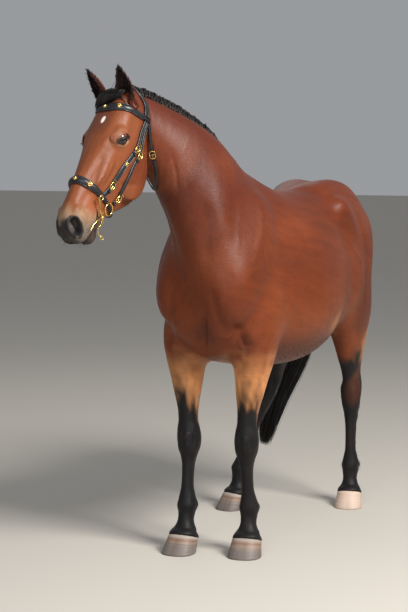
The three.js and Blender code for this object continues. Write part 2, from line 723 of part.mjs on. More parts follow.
// A strap along a route given in the head's frame: width and thickness follow the share of its length.
function strap({ route, width, lift, thick, looped = false }, margin) {
  const curve = new THREE.CatmullRomCurve3(route.map(([t, n, s]) => fromHead(t, n, s)), looped, "centripetal");
  const count = Math.max(Math.round(curve.getLength() / STATION), 3);
  const at = (value, u) => (typeof value === "function" ? value(u) : value);
  const stations = steps(0, 1, count).map((u) => ({ u, ...ontoSurface(fleshField, curve.getPointAt(u)) }));
  const used = looped ? stations.slice(0, -1) : stations;
  const sections = used.map(({ u, point, normal }, i) => {
    const before = looped ? used[(i + used.length - 1) % used.length] : used[Math.max(i - 1, 0)];
    const after = looped ? used[(i + 1) % used.length] : used[Math.min(i + 1, used.length - 1)];
    const along = after.point.clone().sub(before.point).normalize();
    const across = new THREE.Vector3().crossVectors(along, normal).normalize();
    const end = looped ? 0 : (i === 0 ? -margin : 0) + (i === used.length - 1 ? margin : 0);
    const inner = [];
    const outer = [];
    for (const k of [-1, 0, 1]) {
      const reach = (at(width, u) / 2 + margin) * k;
      const skin = ontoSurface(fleshField, point.clone().addScaledVector(across, reach));
      inner.push(skin.point.clone().addScaledVector(skin.normal, lift - margin).addScaledVector(along, end));
      const top = lift + at(thick, u) * (k === 0 ? 1 : 0.8) + margin;
      outer.push(skin.point.clone().addScaledVector(skin.normal, top).addScaledVector(along, end));
    }
    return [...inner, ...outer.reverse()];
  });
  return looped ? hoop(sections) : loft(sections);
}
// Skins a row of rings that ends where it began.
function hoop(sections) {
  const n = sections[0].length;
  const count = sections.length;
  const positions = sections.flat().flatMap((p) => p.toArray());
  const index = [];
  for (let i = 0; i < count; i += 1) {
    for (let k = 0; k < n; k += 1) {
      const a = i * n + k;
      const b = i * n + ((k + 1) % n);
      const c = ((i + 1) % count) * n + k;
      const d = ((i + 1) % count) * n + ((k + 1) % n);
      index.push(a, b, d, a, d, c);
    }
  }
  const geometry = new THREE.BufferGeometry();
  geometry.setAttribute("position", new THREE.BufferAttribute(new Float32Array(positions), 3));
  geometry.setIndex(index);
  return closed(geometry);
}

const mirrored = (route) => route.map(([t, n, s]) => [t, n, -s]);
const JUNCTION = [52, -124, 86]; // where browband, crownpiece and cheek straps meet below the ear
const LIFT = 4; // room between a strap and the skin
const STRAPS = {
  crownpiece: {
    route: [[24, -118, 80], [-12, -108, 68], [-40, -66, 48], [-54, -20, 0], [-40, -66, -48], [-12, -108, -68], [24, -118, -80]],
    width: 30,
    lift: LIFT,
    thick: 4,
  },
  browband: {
    route: [[60, -96, 89], [70, -31, 90], [82, 18, 56], [88, 28, 0], [82, 18, -56], [70, -31, -90], [60, -96, -89]],
    width: (u) => 22 + 16 * Math.sin(Math.PI * u),
    lift: LIFT,
    thick: 6,
  },
  noseband: {
    route: [[458, 62, 0], [462, 30, 43], [468, -40, 60], [474, -110, 50], [482, -186, 20]]
      .concat([[482, -186, -20], [474, -110, -50], [468, -40, -60], [462, 30, -43]]),
    width: (u) => 25 + 13 * Math.cos(2 * Math.PI * u),
    lift: LIFT,
    thick: 8,
    looped: true,
  },
  throatlatch: {
    route: [[66, -152, 84], [120, -208, 78], [160, -262, 70], [200, -330, 56], [232, -380, 24]]
      .concat([[232, -380, -24], [200, -330, -56], [160, -262, -70], [120, -208, -78], [66, -152, -84]]),
    width: 15,
    lift: LIFT,
    thick: 4,
  },
};
const CHEEK_STRAPS = {
  cheek_strap_front: [[76, -118, 88], [208, -123, 93], [312, -97, 85], [379, -91, 71], [440, -83, 62]],
  cheek_strap_rear: [[84, -146, 88], [205, -153, 91], [271, -144, 90], [378, -147, 75], [418, -159, 53], [446, -152, 46]],
};
for (const [name, route] of Object.entries(CHEEK_STRAPS)) {
  STRAPS[`${name}_left`] = { route, width: 17, lift: LIFT, thick: 4 };
  STRAPS[`${name}_right`] = { route: mirrored(route), width: 17, lift: LIFT, thick: 4 };
}
const FORELOCK = {
  route: [[-14, 18, 4], [24, 34, -2], [52, 40, -22], [76, 36, -46], [96, 28, -62]],
  width: (u) => 66 - 34 * u * u,
  lift: 13,
  thick: (u) => 22 - 14 * u,
};

// ---------- brass fittings ----------

// Places a flat fitting on the skin at a point of the head's frame, its length turned to run towards another.
function onStrap(geometry, spot, towards, lift) {
  const skin = ontoSurface(fleshField, fromHead(...spot));
  const next = ontoSurface(fleshField, fromHead(...towards));
  const z = skin.normal;
  const x = next.point.clone().sub(skin.point);
  x.addScaledVector(z, -x.dot(z)).normalize();
  const y = new THREE.Vector3().crossVectors(z, x);
  const place = new THREE.Matrix4().makeBasis(x, y, z);
  place.setPosition(skin.point.clone().addScaledVector(z, lift));
  return geometry.applyMatrix4(place);
}
function rounded(Kind, length, width, corner) {
  const outline = new Kind();
  const [x, y] = [length / 2, width / 2];
  outline.moveTo(corner - x, -y);
  outline.lineTo(x - corner, -y).quadraticCurveTo(x, -y, x, corner - y);
  outline.lineTo(x, y - corner).quadraticCurveTo(x, y, x - corner, y);
  outline.lineTo(corner - x, y).quadraticCurveTo(-x, y, -x, y - corner);
  outline.lineTo(-x, corner - y).quadraticCurveTo(-x, -y, corner - x, -y);
  return outline;
}
const BUCKLE = { length: 34, width: 27, bar: 4, deep: 4 };
const ABOVE_STRAP = LIFT + 6; // clear of a cheek strap's face
function buckle(spot, towards) {
  const { length, width, bar, deep } = BUCKLE;
  const frame = rounded(THREE.Shape, length, width, 8);
  frame.holes.push(rounded(THREE.Path, length - 2 * bar, width - 2 * bar, 5));
  const geometry = new THREE.ExtrudeGeometry(frame, { depth: deep, bevelEnabled: false, curveSegments: 1 });
  return closed(onStrap(geometry, spot, towards, ABOVE_STRAP));
}
const BUCKLES = {
  buckle_front_upper: [[205, -124, 93], [250, -112, 93]],
  buckle_front_lower: [[406, -86, 67], [440, -80, 62]],
  buckle_rear_upper: [[218, -154, 91], [271, -144, 90]],
  buckle_rear_lower: [[424, -160, 53], [450, -152, 46]],
  buckle_throatlatch: [[150, -247, 72], [180, -295, 64]],
};
const STUDS = {
  browband_stud_middle: [86, 27, -8],
  browband_stud_left: [80, 17, 58],
  noseband_stud_front: [458, 60, 6],
  noseband_stud_left: [464, 20, 50],
};
const STUD_RADIUS = 9;
function stud(spot) {
  const dome = [[0, 0], [STUD_RADIUS, 0], [STUD_RADIUS * 0.8, 2.5], [STUD_RADIUS * 0.4, 4], [0, 4.5]];
  const geometry = new THREE.LatheGeometry(dome.map(([r, h]) => new THREE.Vector2(r, h)), 7);
  geometry.rotateX(Math.PI / 2);
  const lift = LIFT + (spot[0] > 300 ? 8.8 : 6.8);
  return closed(onStrap(geometry, spot, [spot[0] + 40, spot[1], spot[2]], lift));
}

const rod = (points, radius, sides) => {
  const section = new THREE.Shape();
  section.absarc(0, 0, radius, 0, 2 * Math.PI);
  const path = new THREE.CatmullRomCurve3(points, false, "centripetal");
  const count = Math.max(Math.round(path.getLength() / (radius * 4)), 4);
  return closed(
    new THREE.ExtrudeGeometry(section, { steps: count, curveSegments: sides, bevelEnabled: false, extrudePath: path }),
  );
};
const BRADOON = { spot: [490, -138, 42], radius: 26, bar: 4, lift: 19 };
function bradoon(side) {
  const [t, n, s] = BRADOON.spot;
  const geometry = new THREE.TorusGeometry(BRADOON.radius, BRADOON.bar, 4, 10);
  return closed(onStrap(geometry, [t, n, s * side], [t + 40, n, s * side], BRADOON.lift));
}
// The curb's cheek: from its upper ring, past the corner of the mouth, down its curved lower arm.
const SHANK = [
  [500, -34, 78],
  [520, -54, 76],
  [540, -70, 74],
  [552, -96, 68],
  [576, -106, 64],
  [598, -102, 60],
  [612, -112, 57],
  [618, -136, 54],
];
const shank = (side) => rod(SHANK.map(([t, n, s]) => fromHead(t, n, s * side)), 5, 2);
const CHAIN = [[532, -96, 50], [540, -140, 34], [548, -158, 0], [540, -140, -34], [532, -96, -50]];
const CHAIN_LIFT = 8;
const curbChain = () =>
  rod(
    CHAIN.map((spot) => {
      const skin = ontoSurface(headField, fromHead(...spot));
      return skin.point.clone().addScaledVector(skin.normal, CHAIN_LIFT);
    }),
    4,
    2,
  );

// ---------- the scene graph ----------

const group = new THREE.Group();
function add(name, solid, material) {
  const mesh = solid.getMesh();
  const geometry = new THREE.BufferGeometry();
  const positions = new Float32Array(mesh.numVert * 3);
  for (let i = 0; i < mesh.numVert; i += 1) {
    positions.set(mesh.vertProperties.subarray(i * mesh.numProp, i * mesh.numProp + 3), i * 3);
  }
  geometry.setAttribute("position", new THREE.BufferAttribute(positions, 3));
  geometry.setIndex(new THREE.BufferAttribute(mesh.triVerts, 1));
  const made = new THREE.Mesh(geometry, material);
  made.name = name;
  group.add(made);
}
const coat = new THREE.MeshStandardMaterial({ color: 0x8a4420, roughness: 0.45, metalness: 0 });
const points = new THREE.MeshStandardMaterial({ color: 0x1c1815, roughness: 0.5, metalness: 0 });
const horn = new THREE.MeshStandardMaterial({ color: 0x7d6a5c, roughness: 0.6, metalness: 0 });
const hair = new THREE.MeshStandardMaterial({ color: 0x141110, roughness: 0.45, metalness: 0 });
const lens = new THREE.MeshStandardMaterial({ color: 0x120b08, roughness: 0.08, metalness: 0 });
const leather = new THREE.MeshStandardMaterial({ color: 0x17181b, roughness: 0.35, metalness: 0 });
const brass = new THREE.MeshStandardMaterial({ color: 0xc9a24a, roughness: 0.25, metalness: 1 });

let rest = bodySolid().add(headSolid());
for (const leg of Object.values(LEGS)) rest = rest.add(legSolid(leg));
const flesh = new Map();
function take(name, at) {
  flesh.set(name, biggest(rest.intersect(at(0))));
  rest = rest.subtract(at(CUT_GAP));
}
for (const [name, leg] of Object.entries(LEGS)) {
  const { back, pieces } = LEG_CUTS[leg.kind];
  for (const [piece, low, high] of pieces) {
    const reach = LEG_REACH[leg.kind] + (low < UPPER_PIECE ? FOOT_REACH : 0);
    const start = new THREE.Vector3(back, (leg.side * WIDE) / 2, 0);
    take(`${name}_${piece}`, (m) => block(start, new THREE.Vector3(1, 0, 0), reach, WIDE, low, high, m));
  }
  const foot = `${name}_pastern`;
  flesh.set(foot, biggest(flesh.get(foot).subtract(belowCoronet(leg))));
}
const behindPoll = fromHead(-44, 0, 0);
const facing = fromHead(330, 234, 0).sub(POLL); // square to the line from behind the poll to the throat
take("head", (m) => block(behindPoll, facing, 900, WIDE, -470, 150, m));
take("neck", (m) => block(new THREE.Vector3(712, 0, 1250), new THREE.Vector3(618, 0, 192), WIDE, WIDE, -400, 1200, m));
take("shoulders", (m) => block(new THREE.Vector3(160, 0, 0), new THREE.Vector3(1, 0, 0), WIDE, WIDE, 0, 2500, m));
take("barrel", (m) => block(new THREE.Vector3(-395, 0, 0), new THREE.Vector3(1, 0, 0), WIDE, WIDE, 0, 2500, m));
flesh.set("hindquarters", biggest(rest));

// What is set into another piece takes its room out of it.
const solids = new Map();
for (const [name, solid] of flesh) solids.set(name, [solid, /cannon|pastern|knee|hock/.test(name) ? points : coat]);
function setInto(name, hosts, make, material) {
  solids.set(name, [make(0), material]);
  for (const host of hosts) {
    const [solid, own] = solids.get(host);
    solids.set(host, [biggest(solid.subtract(make(CUT_GAP))), own]);
  }
}
setInto("eye_left", ["head"], (m) => eye(1, m), lens);
setInto("eye_right", ["head"], (m) => eye(-1, m), lens);
setInto("mane", ["neck", "head", "shoulders"], (m) => mane(m), hair);
setInto("forelock", [], (m) => strap(FORELOCK, m), hair);
setInto("tail", ["hindquarters"], (m) => tail(m), hair);
for (const [name, shape] of Object.entries(EARS)) setInto(name, ["head", "neck", "forelock"], (m) => ear(shape, m), coat);
const STRAP_HOSTS = {
  crownpiece: ["mane", "neck"],
  throatlatch: ["head", "neck"],
  noseband: ["head"],
  cheek_strap_rear_left: ["head"],
  cheek_strap_rear_right: ["head"],
};
for (const [name, shape] of Object.entries(STRAPS)) {
  setInto(name, STRAP_HOSTS[name] ?? [], (m) => strap(shape, m), leather);
}
for (const [name, [solid, material]] of solids) add(name, solid, material);
for (const [name, leg] of Object.entries(LEGS)) add(`${name}_hoof`, hoof(leg), horn);
for (const side of [1, -1]) {
  const end = side > 0 ? "left" : "right";
  for (const [name, ends] of Object.entries(BUCKLES)) {
    const [spot, towards] = ends.map(([t, n, s]) => [t, n, s * side]);
    add(`${name}_${end}`, buckle(spot, towards), brass);
  }
  add(`bradoon_ring_${end}`, bradoon(side), brass);
  add(`curb_shank_${end}`, shank(side), brass);
}
for (const [name, spot] of Object.entries(STUDS)) add(name, stud(spot), brass);
add("curb_chain", curbChain(), brass);
group.position.copy(SHIFT);

export default group;
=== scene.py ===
"""A bay horse in a double bridle, standing alert: its coat, hair, hooves, eyes and tack."""

import math

import bpy
import numpy as np
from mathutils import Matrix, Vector


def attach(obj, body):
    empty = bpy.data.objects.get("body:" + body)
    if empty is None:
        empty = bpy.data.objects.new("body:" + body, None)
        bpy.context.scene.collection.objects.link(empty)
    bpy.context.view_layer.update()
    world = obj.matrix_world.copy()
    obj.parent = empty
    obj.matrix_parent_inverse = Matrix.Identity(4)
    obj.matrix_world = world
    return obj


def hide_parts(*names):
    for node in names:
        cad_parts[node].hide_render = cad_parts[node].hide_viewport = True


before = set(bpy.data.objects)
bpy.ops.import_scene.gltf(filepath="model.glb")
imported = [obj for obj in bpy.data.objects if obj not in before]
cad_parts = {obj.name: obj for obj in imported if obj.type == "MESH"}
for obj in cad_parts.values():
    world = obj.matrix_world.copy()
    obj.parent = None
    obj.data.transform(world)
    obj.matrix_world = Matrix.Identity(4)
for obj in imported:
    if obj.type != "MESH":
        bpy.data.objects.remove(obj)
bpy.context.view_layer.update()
RNG = np.random.default_rng(7)

# ---------------------------------------------------------------- the body's own sizes, in millimetres
# The body is a field: negative inside, positive outside, near zero a true distance. X forward, Y left, Z up.

MM = 0.001
SHIFT = np.array([-190.1, 92.2, 0.0])  # from the body's working origin to the model's
COAT_DEPTH = 2.5  # how far the skin lies inside the solids

POLL = np.array([988.0, -197.0, 2036.0])
HEAD_YAW, HEAD_PITCH, HEAD_ROLL = -1.5, 57.0, 6.5
SWAY, SWAY_LENGTH = 60.0, 900.0
FETLOCK, TURN_FADE = 205.0, 150.0
LEG_ROUND = 2.2
HEAD_BLEND, LEG_BLEND = 40.0, 60.0

# Trunk and neck, rump to poll: top point x, y, z; bottom point x, y, z; how far up it is widest; half width;
# roundness of the upper and the lower part
BODY_ROWS = [
    (-912, 0, 1345, -912, 0, 1190, 0.45, 42, 2, 2),
    (-896, 0, 1425, -896, 0, 1110, 0.45, 100, 2, 2),
    (-860, 0, 1492, -860, 0, 1050, 0.45, 146, 1.9, 2),
    (-796, 0, 1552, -796, 0, 1005, 0.44, 192, 1.8, 2),
    (-700, 0, 1607, -700, 0, 965, 0.43, 228, 1.8, 2),
    (-600, 0, 1641, -600, 0, 925, 0.43, 250, 1.85, 2),
    (-500, 0, 1655, -500, 0, 886, 0.43, 262, 2, 2),
    (-400, 0, 1654, -400, 0, 848, 0.43, 270, 2.1, 2),
    (-280, 0, 1641, -280, 0, 814, 0.43, 286, 2.1, 2.1),
    (-150, 0, 1620, -150, 0, 796, 0.42, 304, 2.1, 2.1),
    (0, 0, 1618, 0, 0, 794, 0.41, 312, 2, 2.1),
    (115, 0, 1650, 120, 0, 803, 0.4, 300, 1.85, 2.1),
    (205, 0, 1684, 240, 0, 818, 0.4, 280, 1.7, 2.1),
    (280, 0, 1714, 360, 0, 836, 0.4, 260, 1.6, 2.1),
    (335, 0, 1742, 480, 0, 858, 0.4, 242, 1.6, 2.1),
    (385, 0, 1774, 584, 0, 892, 0.4, 224, 1.65, 2.1),
    (432, 0, 1808, 652, 0, 978, 0.38, 208, 1.65, 2.1),
    (482, -4, 1844, 690, 0, 1092, 0.38, 188, 1.65, 2.1),
    (535, -14, 1878, 706, -12, 1205, 0.4, 163, 1.7, 2.1),
    (592, -32, 1910, 720, -34, 1315, 0.46, 135, 1.8, 2.1),
    (655, -58, 1944, 740, -64, 1432, 0.48, 118, 1.8, 2.1),
    (722, -94, 1978, 766, -102, 1548, 0.5, 105, 1.8, 2.1),
    (798, -132, 2012, 798, -142, 1655, 0.5, 95, 1.8, 2.1),
    (882, -168, 2038, 846, -178, 1742, 0.5, 87, 1.8, 2.1),
    (970, -194, 2036, 925, -198, 1800, 0.5, 78, 2, 2.1),
]
# Head, down the face from the poll: t, forehead side, jaw side, level of the greatest width, half width,
# roundness of the two sides
HEAD_ROWS = [
    (-46, -20, -90, -50, 40, 2, 2),
    (-25, 0, -122, -50, 62, 2, 2),
    (20, 14, -160, -50, 80, 2.1, 2),
    (71, 24, -214, -45, 91, 2.3, 1.9),
    (132, 33, -260, -40, 98, 2.5, 1.8),
    (194, 40, -302, -42, 98, 2.5, 1.75),
    (265, 44, -320, -48, 88, 2.3, 1.7),
    (336, 48, -302, -50, 78, 2.2, 1.7),
    (408, 52, -256, -45, 68, 2.1, 1.75),
    (460, 55, -208, -38, 60, 2.1, 1.8),
    (510, 57, -172, -32, 56, 2.1, 1.9),
    (560, 58, -150, -28, 57, 2.2, 2),
    (612, 59, -136, -28, 60, 2.3, 2),
    (650, 50, -114, -30, 55, 2.3, 2),
    (682, 27, -84, -30, 45, 2.1, 2),
    (702, 0, -54, -28, 24, 2, 2),
]
# Legs: height, front and back of the leg from its axis, half width
FORE_ROWS = [
    (40, 140, -24, 56),
    (88, 92, -32, 55),
    (130, 55, -34, 39),
    (170, 41, -48, 40),
    (205, 46, -58, 47),
    (240, 39, -49, 39),
    (285, 33, -40, 30),
    (380, 33, -40, 29.5),
    (425, 38, -46, 38),
    (465, 51, -58, 52),
    (510, 56, -62, 56),
    (550, 52, -54, 52),
    (590, 47, -49, 46),
    (650, 50, -56, 50),
    (720, 62, -72, 62),
    (800, 80, -98, 74),
    (870, 98, -122, 86),
    (930, 112, -136, 90),
    (1000, 112, -128, 82),
    (1060, 90, -104, 62),
]
HIND_ROWS = [
    (40, 122, -38, 54),
    (85, 80, -40, 52),
    (130, 47, -42, 38),
    (170, 39, -53, 41),
    (205, 43, -60, 45),
    (245, 36, -49, 38),
    (290, 33, -42, 29),
    (400, 33, -43, 28),
    (470, 40, -49, 36),
    (520, 53, -55, 46),
    (570, 63, -60, 51),
    (612, 71, -65, 49),
    (645, 80, -72, 41),
    (668, 93, -66, 40),
    (700, 110, -48, 43),
    (760, 152, -32, 54),
    (850, 214, -24, 72),
    (930, 276, -30, 86),
    (985, 304, -34, 92),
    (1040, 304, -26, 92),
    (1120, 262, 4, 80),
    (1180, 220, 36, 62),
]
# The axis of each leg passes through these points, from the ground up: height, x, y; toe_out in degrees
LEGS = {
  "fore_left": {
    "kind": "fore",
    "side": 1,
    "toe_out": 15,
    "axis": [[205, 438, 138], [510, 468, 140], [930, 446, 165]],
  },
  "fore_right": {
    "kind": "fore",
    "side": -1,
    "toe_out": -6,
    "axis": [[205, 520, -138], [510, 492, -143], [930, 476, -172]],
  },
  "hind_left": {
    "kind": "hind",
    "side": 1,
    "toe_out": 18,
    "axis": [[205, -718, 100], [590, -728, 100], [860, -772, 110], [1150, -835, 105]],
  },
  "hind_right": {
    "kind": "hind",
    "side": -1,
    "toe_out": 14,
    "axis": [[205, -385, -362], [590, -560, -290], [860, -735, -236], [1150, -835, -205]],
  },
}
# Muscles and bony points, on both sides: middle, direction, radii along it, sideways and across, blend
TRUNK_MASSES = [
    ((470, 126, 1340), (-0.5, 0, 0.86), (260, 94, 120), 90),  # shoulder blade
    ((594, 138, 1205), (0.3, 0, -1), (155, 82, 94), 100),  # point of the shoulder
    ((602, 70, 1090), (0.1, 0, -1), (120, 66, 76), 55),  # breast
    ((395, 195, 1075), (0.5, 0, -0.6), (165, 70, 110), 60),  # triceps
    ((-420, 182, 1490), (0.6, 0.3, 0.4), (105, 56, 58), 110),  # point of the hip
    ((-540, 90, 1560), (1, 0, 0.05), (250, 84, 100), 45),  # loin and top of the rump
    ((-650, 125, 1410), (1, 0, 0.2), (230, 108, 160), 90),  # rump muscle
    ((-748, 134, 1195), (0.22, 0, -1), (270, 96, 128), 85),  # back of the thigh
    ((-560, 168, 1110), (0.5, 0, 0.85), (200, 82, 125), 80),  # front of the thigh
]
# The same in the head's frame: t, sideways, n
HEAD_MASSES = [
    ((211, 84, -18), (1, 0, 0), (46, 26, 32), 22),  # rim of the eye socket
    ((278, 60, -172), (0.9, 0, -0.42), (125, 26, 98), 30),  # cheek
    ((336, 62, -24), (1, 0, 0.12), (112, 14, 16), 20),  # facial crest
    ((604, 42, 2), (0.6, 0, -0.8), (45, 20, 30), 16),  # wing of the nostril
    ((622, 8, -118), (0.9, 0, -0.2), (40, 34, 26), 16),  # chin
    ((570, 34, -60), (1, 0, 0), (60, 26, 36), 24),  # lips
    ((20, 34, -12), (1, 0, 0.2), (60, 36, 30), 30),  # root of the ear
]


# ---------------------------------------------------------------- the field


def profile(rows):
    """Smooth interpolation of rows by their first column."""
    rows = np.array(rows, float)
    before = np.vstack([rows[:1], rows[:-1]])
    after = np.vstack([rows[1:], rows[-1:]])
    slopes = (after - before) / (after[:, :1] - before[:, :1])

    def at(t):
        i = np.clip(np.searchsorted(rows[:, 0], t, side="left") - 1, 0, len(rows) - 2)
        span = rows[i + 1, 0] - rows[i, 0]
        u = np.clip((t - rows[i, 0]) / span, 0, 1)
        h1 = (u * u * (3 - 2 * u))[..., None]
        m0 = (u * (1 - u) ** 2 * span)[..., None]
        m1 = (-u * u * (1 - u) * span)[..., None]
        return rows[i] + (rows[i + 1] - rows[i]) * h1 + slopes[i] * m0 + slopes[i + 1] * m1

    return at


def smooth_union(a, b, k):
    h = np.maximum(k - np.abs(a - b), 0) / k
    return np.minimum(a, b) - h * h * k / 4


def smoothstep(low, high, x):
    u = np.clip((x - low) / (high - low), 0, 1)
    return u * u * (3 - 2 * u)


def section_distance(p, q, half, up, down, top_round, bottom_round):
    """Distance from a rounded section: p sideways, q upwards from the level of its greatest width."""
    e = np.where(q > 0, top_round, bottom_round)
    reach = np.where(q > 0, up, down)
    u = np.abs(p) / half + 1e-9
    v = np.abs(q) / reach + 1e-9
    rho = (u**e + v**e) ** (1 / e)
    slope = np.hypot((u / rho) ** (e - 1) / half, (v / rho) ** (e - 1) / reach)
    return np.where(rho < 1e-4, -np.minimum(half, reach), (rho - 1) / slope)


def beyond(d, outside):
    return np.where(outside > 0, np.where(d > 0, np.hypot(d, outside), np.maximum(d, outside)), d)


def sway(x):
    return -SWAY * np.clip(-x / SWAY_LENGTH, 0, 1.2) ** 1.5


def unit(v):
    return v / np.maximum(np.linalg.norm(v, axis=-1, keepdims=True), 1e-12)


body_at = profile([[i, *row] for i, row in enumerate(BODY_ROWS)])
BODY_LAST = len(BODY_ROWS) - 1


def body_sections(t):
    """Sections across the trunk and neck: middle, up, side, normal, half width, heights, roundness."""
    rows = body_at(t)
    top, bottom = rows[:, 1:4].copy(), rows[:, 4:7].copy()
    top[:, 1] += sway(top[:, 0])
    bottom[:, 1] += sway(bottom[:, 0])
    height = np.linalg.norm(top - bottom, axis=1)
    up = unit(top - bottom)
    a, b = body_at(np.maximum(t - 0.25, 0)), body_at(np.minimum(t + 0.25, BODY_LAST))
    side = unit(np.cross(up, (b[:, 1:4] + b[:, 4:7]) - (a[:, 1:4] + a[:, 4:7])))
    return {
        "middle": bottom + up * (height * rows[:, 7])[:, None],
        "up": up,
        "side": side,
        "normal": np.cross(side, up),
        "half": rows[:, 8],
        "above": height * (1 - rows[:, 7]),
        "below": height * rows[:, 7],
        "rounds": rows[:, 9:11],
    }


BODY = body_sections(np.linspace(0, BODY_LAST, BODY_LAST * 2 + 1))


def column_field(points):
    s = BODY
    ahead = points @ s["normal"].T - np.sum(s["middle"] * s["normal"], 1)
    passed = ahead < 0
    count = len(s["half"])
    i = np.where(passed.any(1), passed.argmax(1), count)

    def inside(j):
        d = points - s["middle"][j]
        p = np.sum(d * s["side"][j], 1)
        q = np.sum(d * s["up"][j], 1)
        return section_distance(p, q, s["half"][j], s["above"][j], s["below"][j], *s["rounds"][j].T)

    low, high = np.clip(i - 1, 0, count - 1), np.clip(i, 0, count - 1)
    row = np.arange(len(points))
    g0, g1 = ahead[row, low], ahead[row, high]
    a = inside(low)
    u = np.where(low == high, 0, g0 / np.where(g0 == g1, 1, g0 - g1))
    d = a + (inside(high) - a) * u
    return beyond(d, np.where(i == 0, -ahead[:, 0], np.where(i == count, ahead[:, -1], 0)))


def mass_field(mass, points):
    """An ellipsoid: middle, direction of its long axis, radii along it, sideways and across."""
    middle, axis, radii, _ = mass
    a = unit(np.array(axis, float))
    side = unit(np.array([0, 1.0, 0]) - a * a[1])
    local = (points - np.array(middle, float)) @ np.array([a, side, np.cross(a, side)]).T
    r = np.array(radii, float)
    k0 = np.linalg.norm(local / r, axis=1)
    k1 = np.linalg.norm(local / (r * r), axis=1) + 1e-9
    return k0 * (k0 - 1) / k1


def trunk_field(points):
    d = column_field(points)
    folded = np.stack([points[:, 0], np.abs(points[:, 1] - sway(points[:, 0])), points[:, 2]], 1)
    for mass in TRUNK_MASSES:
        d = smooth_union(d, mass_field(mass, folded), mass[3])
    return d


def make_head_frame():
    yaw, pitch, roll = (math.radians(a) for a in (HEAD_YAW, HEAD_PITCH, HEAD_ROLL))
    ahead = np.array([math.cos(yaw), math.sin(yaw), 0])
    left = np.array([-ahead[1], ahead[0], 0])
    up = np.array([0, 0, 1.0])
    down_face = ahead * math.cos(pitch) - up * math.sin(pitch)
    out = ahead * math.sin(pitch) + up * math.cos(pitch)
    side = left * math.cos(roll) + out * math.sin(roll)
    return np.array([down_face, out * math.cos(roll) - left * math.sin(roll), side])


HEAD = make_head_frame()  # rows: t down the face, n out of the forehead, s to the left


def to_head(points):
    return (points - POLL) @ HEAD.T


def from_head(local):
    return POLL + np.asarray(local, float) @ HEAD


head_at = profile(HEAD_ROWS)


def skull_field(local):
    t, n, s = local.T
    inside = np.clip(t, HEAD_ROWS[0][0], HEAD_ROWS[-1][0])
    _, top, bottom, mid, half, top_round, bottom_round = head_at(inside).T
    d = section_distance(s, n - mid, half, top - mid, mid - bottom, top_round, bottom_round)
    return beyond(d, np.abs(t - inside))


def head_field(points):
    local = to_head(points)
    d = skull_field(local)
    folded = np.stack([local[:, 0], np.abs(local[:, 2]), local[:, 1]], 1)
    for mass in HEAD_MASSES:
        d = smooth_union(d, mass_field(mass, folded), mass[3])
    return d


LEG_ROWS = {"fore": FORE_ROWS, "hind": HIND_ROWS}
leg_at = {kind: profile(rows) for kind, rows in LEG_ROWS.items()}
axis_at = {name: profile(leg["axis"]) for name, leg in LEGS.items()}


def leg_frame(name, z):
    """A leg's axis at heights z, and the direction its front faces there."""
    leg = LEGS[name]
    _, x, y = axis_at[name](np.clip(z, FETLOCK, leg["axis"][-1][0])).T
    share = np.clip((FETLOCK + TURN_FADE - z) / TURN_FADE, 0, 1)
    turn = np.radians(leg["toe_out"] * leg["side"] * share)
    return x, y, np.cos(turn), np.sin(turn)


def leg_field(name, points):
    rows = LEG_ROWS[LEGS[name]["kind"]]
    level = np.clip(points[:, 2], rows[0][0], rows[-1][0])
    _, front, back, half = leg_at[LEGS[name]["kind"]](level).T
    x, y, fx, fy = leg_frame(name, level)
    centre, length = (front + back) / 2, (front - back) / 2
    dx, dy = points[:, 0] - x - centre * fx, points[:, 1] - y - centre * fy
    across, along = dy * fx - dx * fy, dx * fx + dy * fy
    d = section_distance(across, along, half, length, length, LEG_ROUND, LEG_ROUND)
    return beyond(d, np.abs(points[:, 2] - level))


def flesh_field(points):
    d = smooth_union(trunk_field(points), head_field(points), HEAD_BLEND)
    legs = np.min([leg_field(name, points) for name in LEGS], axis=0)
    return smooth_union(d, legs, LEG_BLEND)


def chunked(field, points, size=120000):
    if not len(points):
        return np.zeros(0)
    return np.concatenate([field(points[i : i + size]) for i in range(0, len(points), size)])


def skin_field(points):
    return chunked(flesh_field, points) + COAT_DEPTH


def slopes_of(field, points, value=None, reach=1.0):
    value = field(points) if value is None else value
    return np.stack([field(points + np.eye(3)[k] * reach) - value for k in range(3)], 1) / reach


def settle(points, field=skin_field, rounds=3, lift=0.0):
    """Moves points onto the field's surface, or to a height above it, and gives the outward normals."""
    points = np.array(points, float)
    for _ in range(rounds):
        value = field(points) - lift
        slope = slopes_of(field, points, value + lift)
        step = np.clip(value / np.maximum((slope**2).sum(1), 0.05), -14, 14)
        points = points - slope * step[:, None]
    return points, unit(slopes_of(field, points))


# ---------------------------------------------------------------- meshing the field

CELL = 13.0  # of the skin's own net, before the head and lower legs are divided finer
COARSE = 4  # cells of the first, sparse pass
REACH = ((-1010, -520, 0), (1480, 420, 2160))


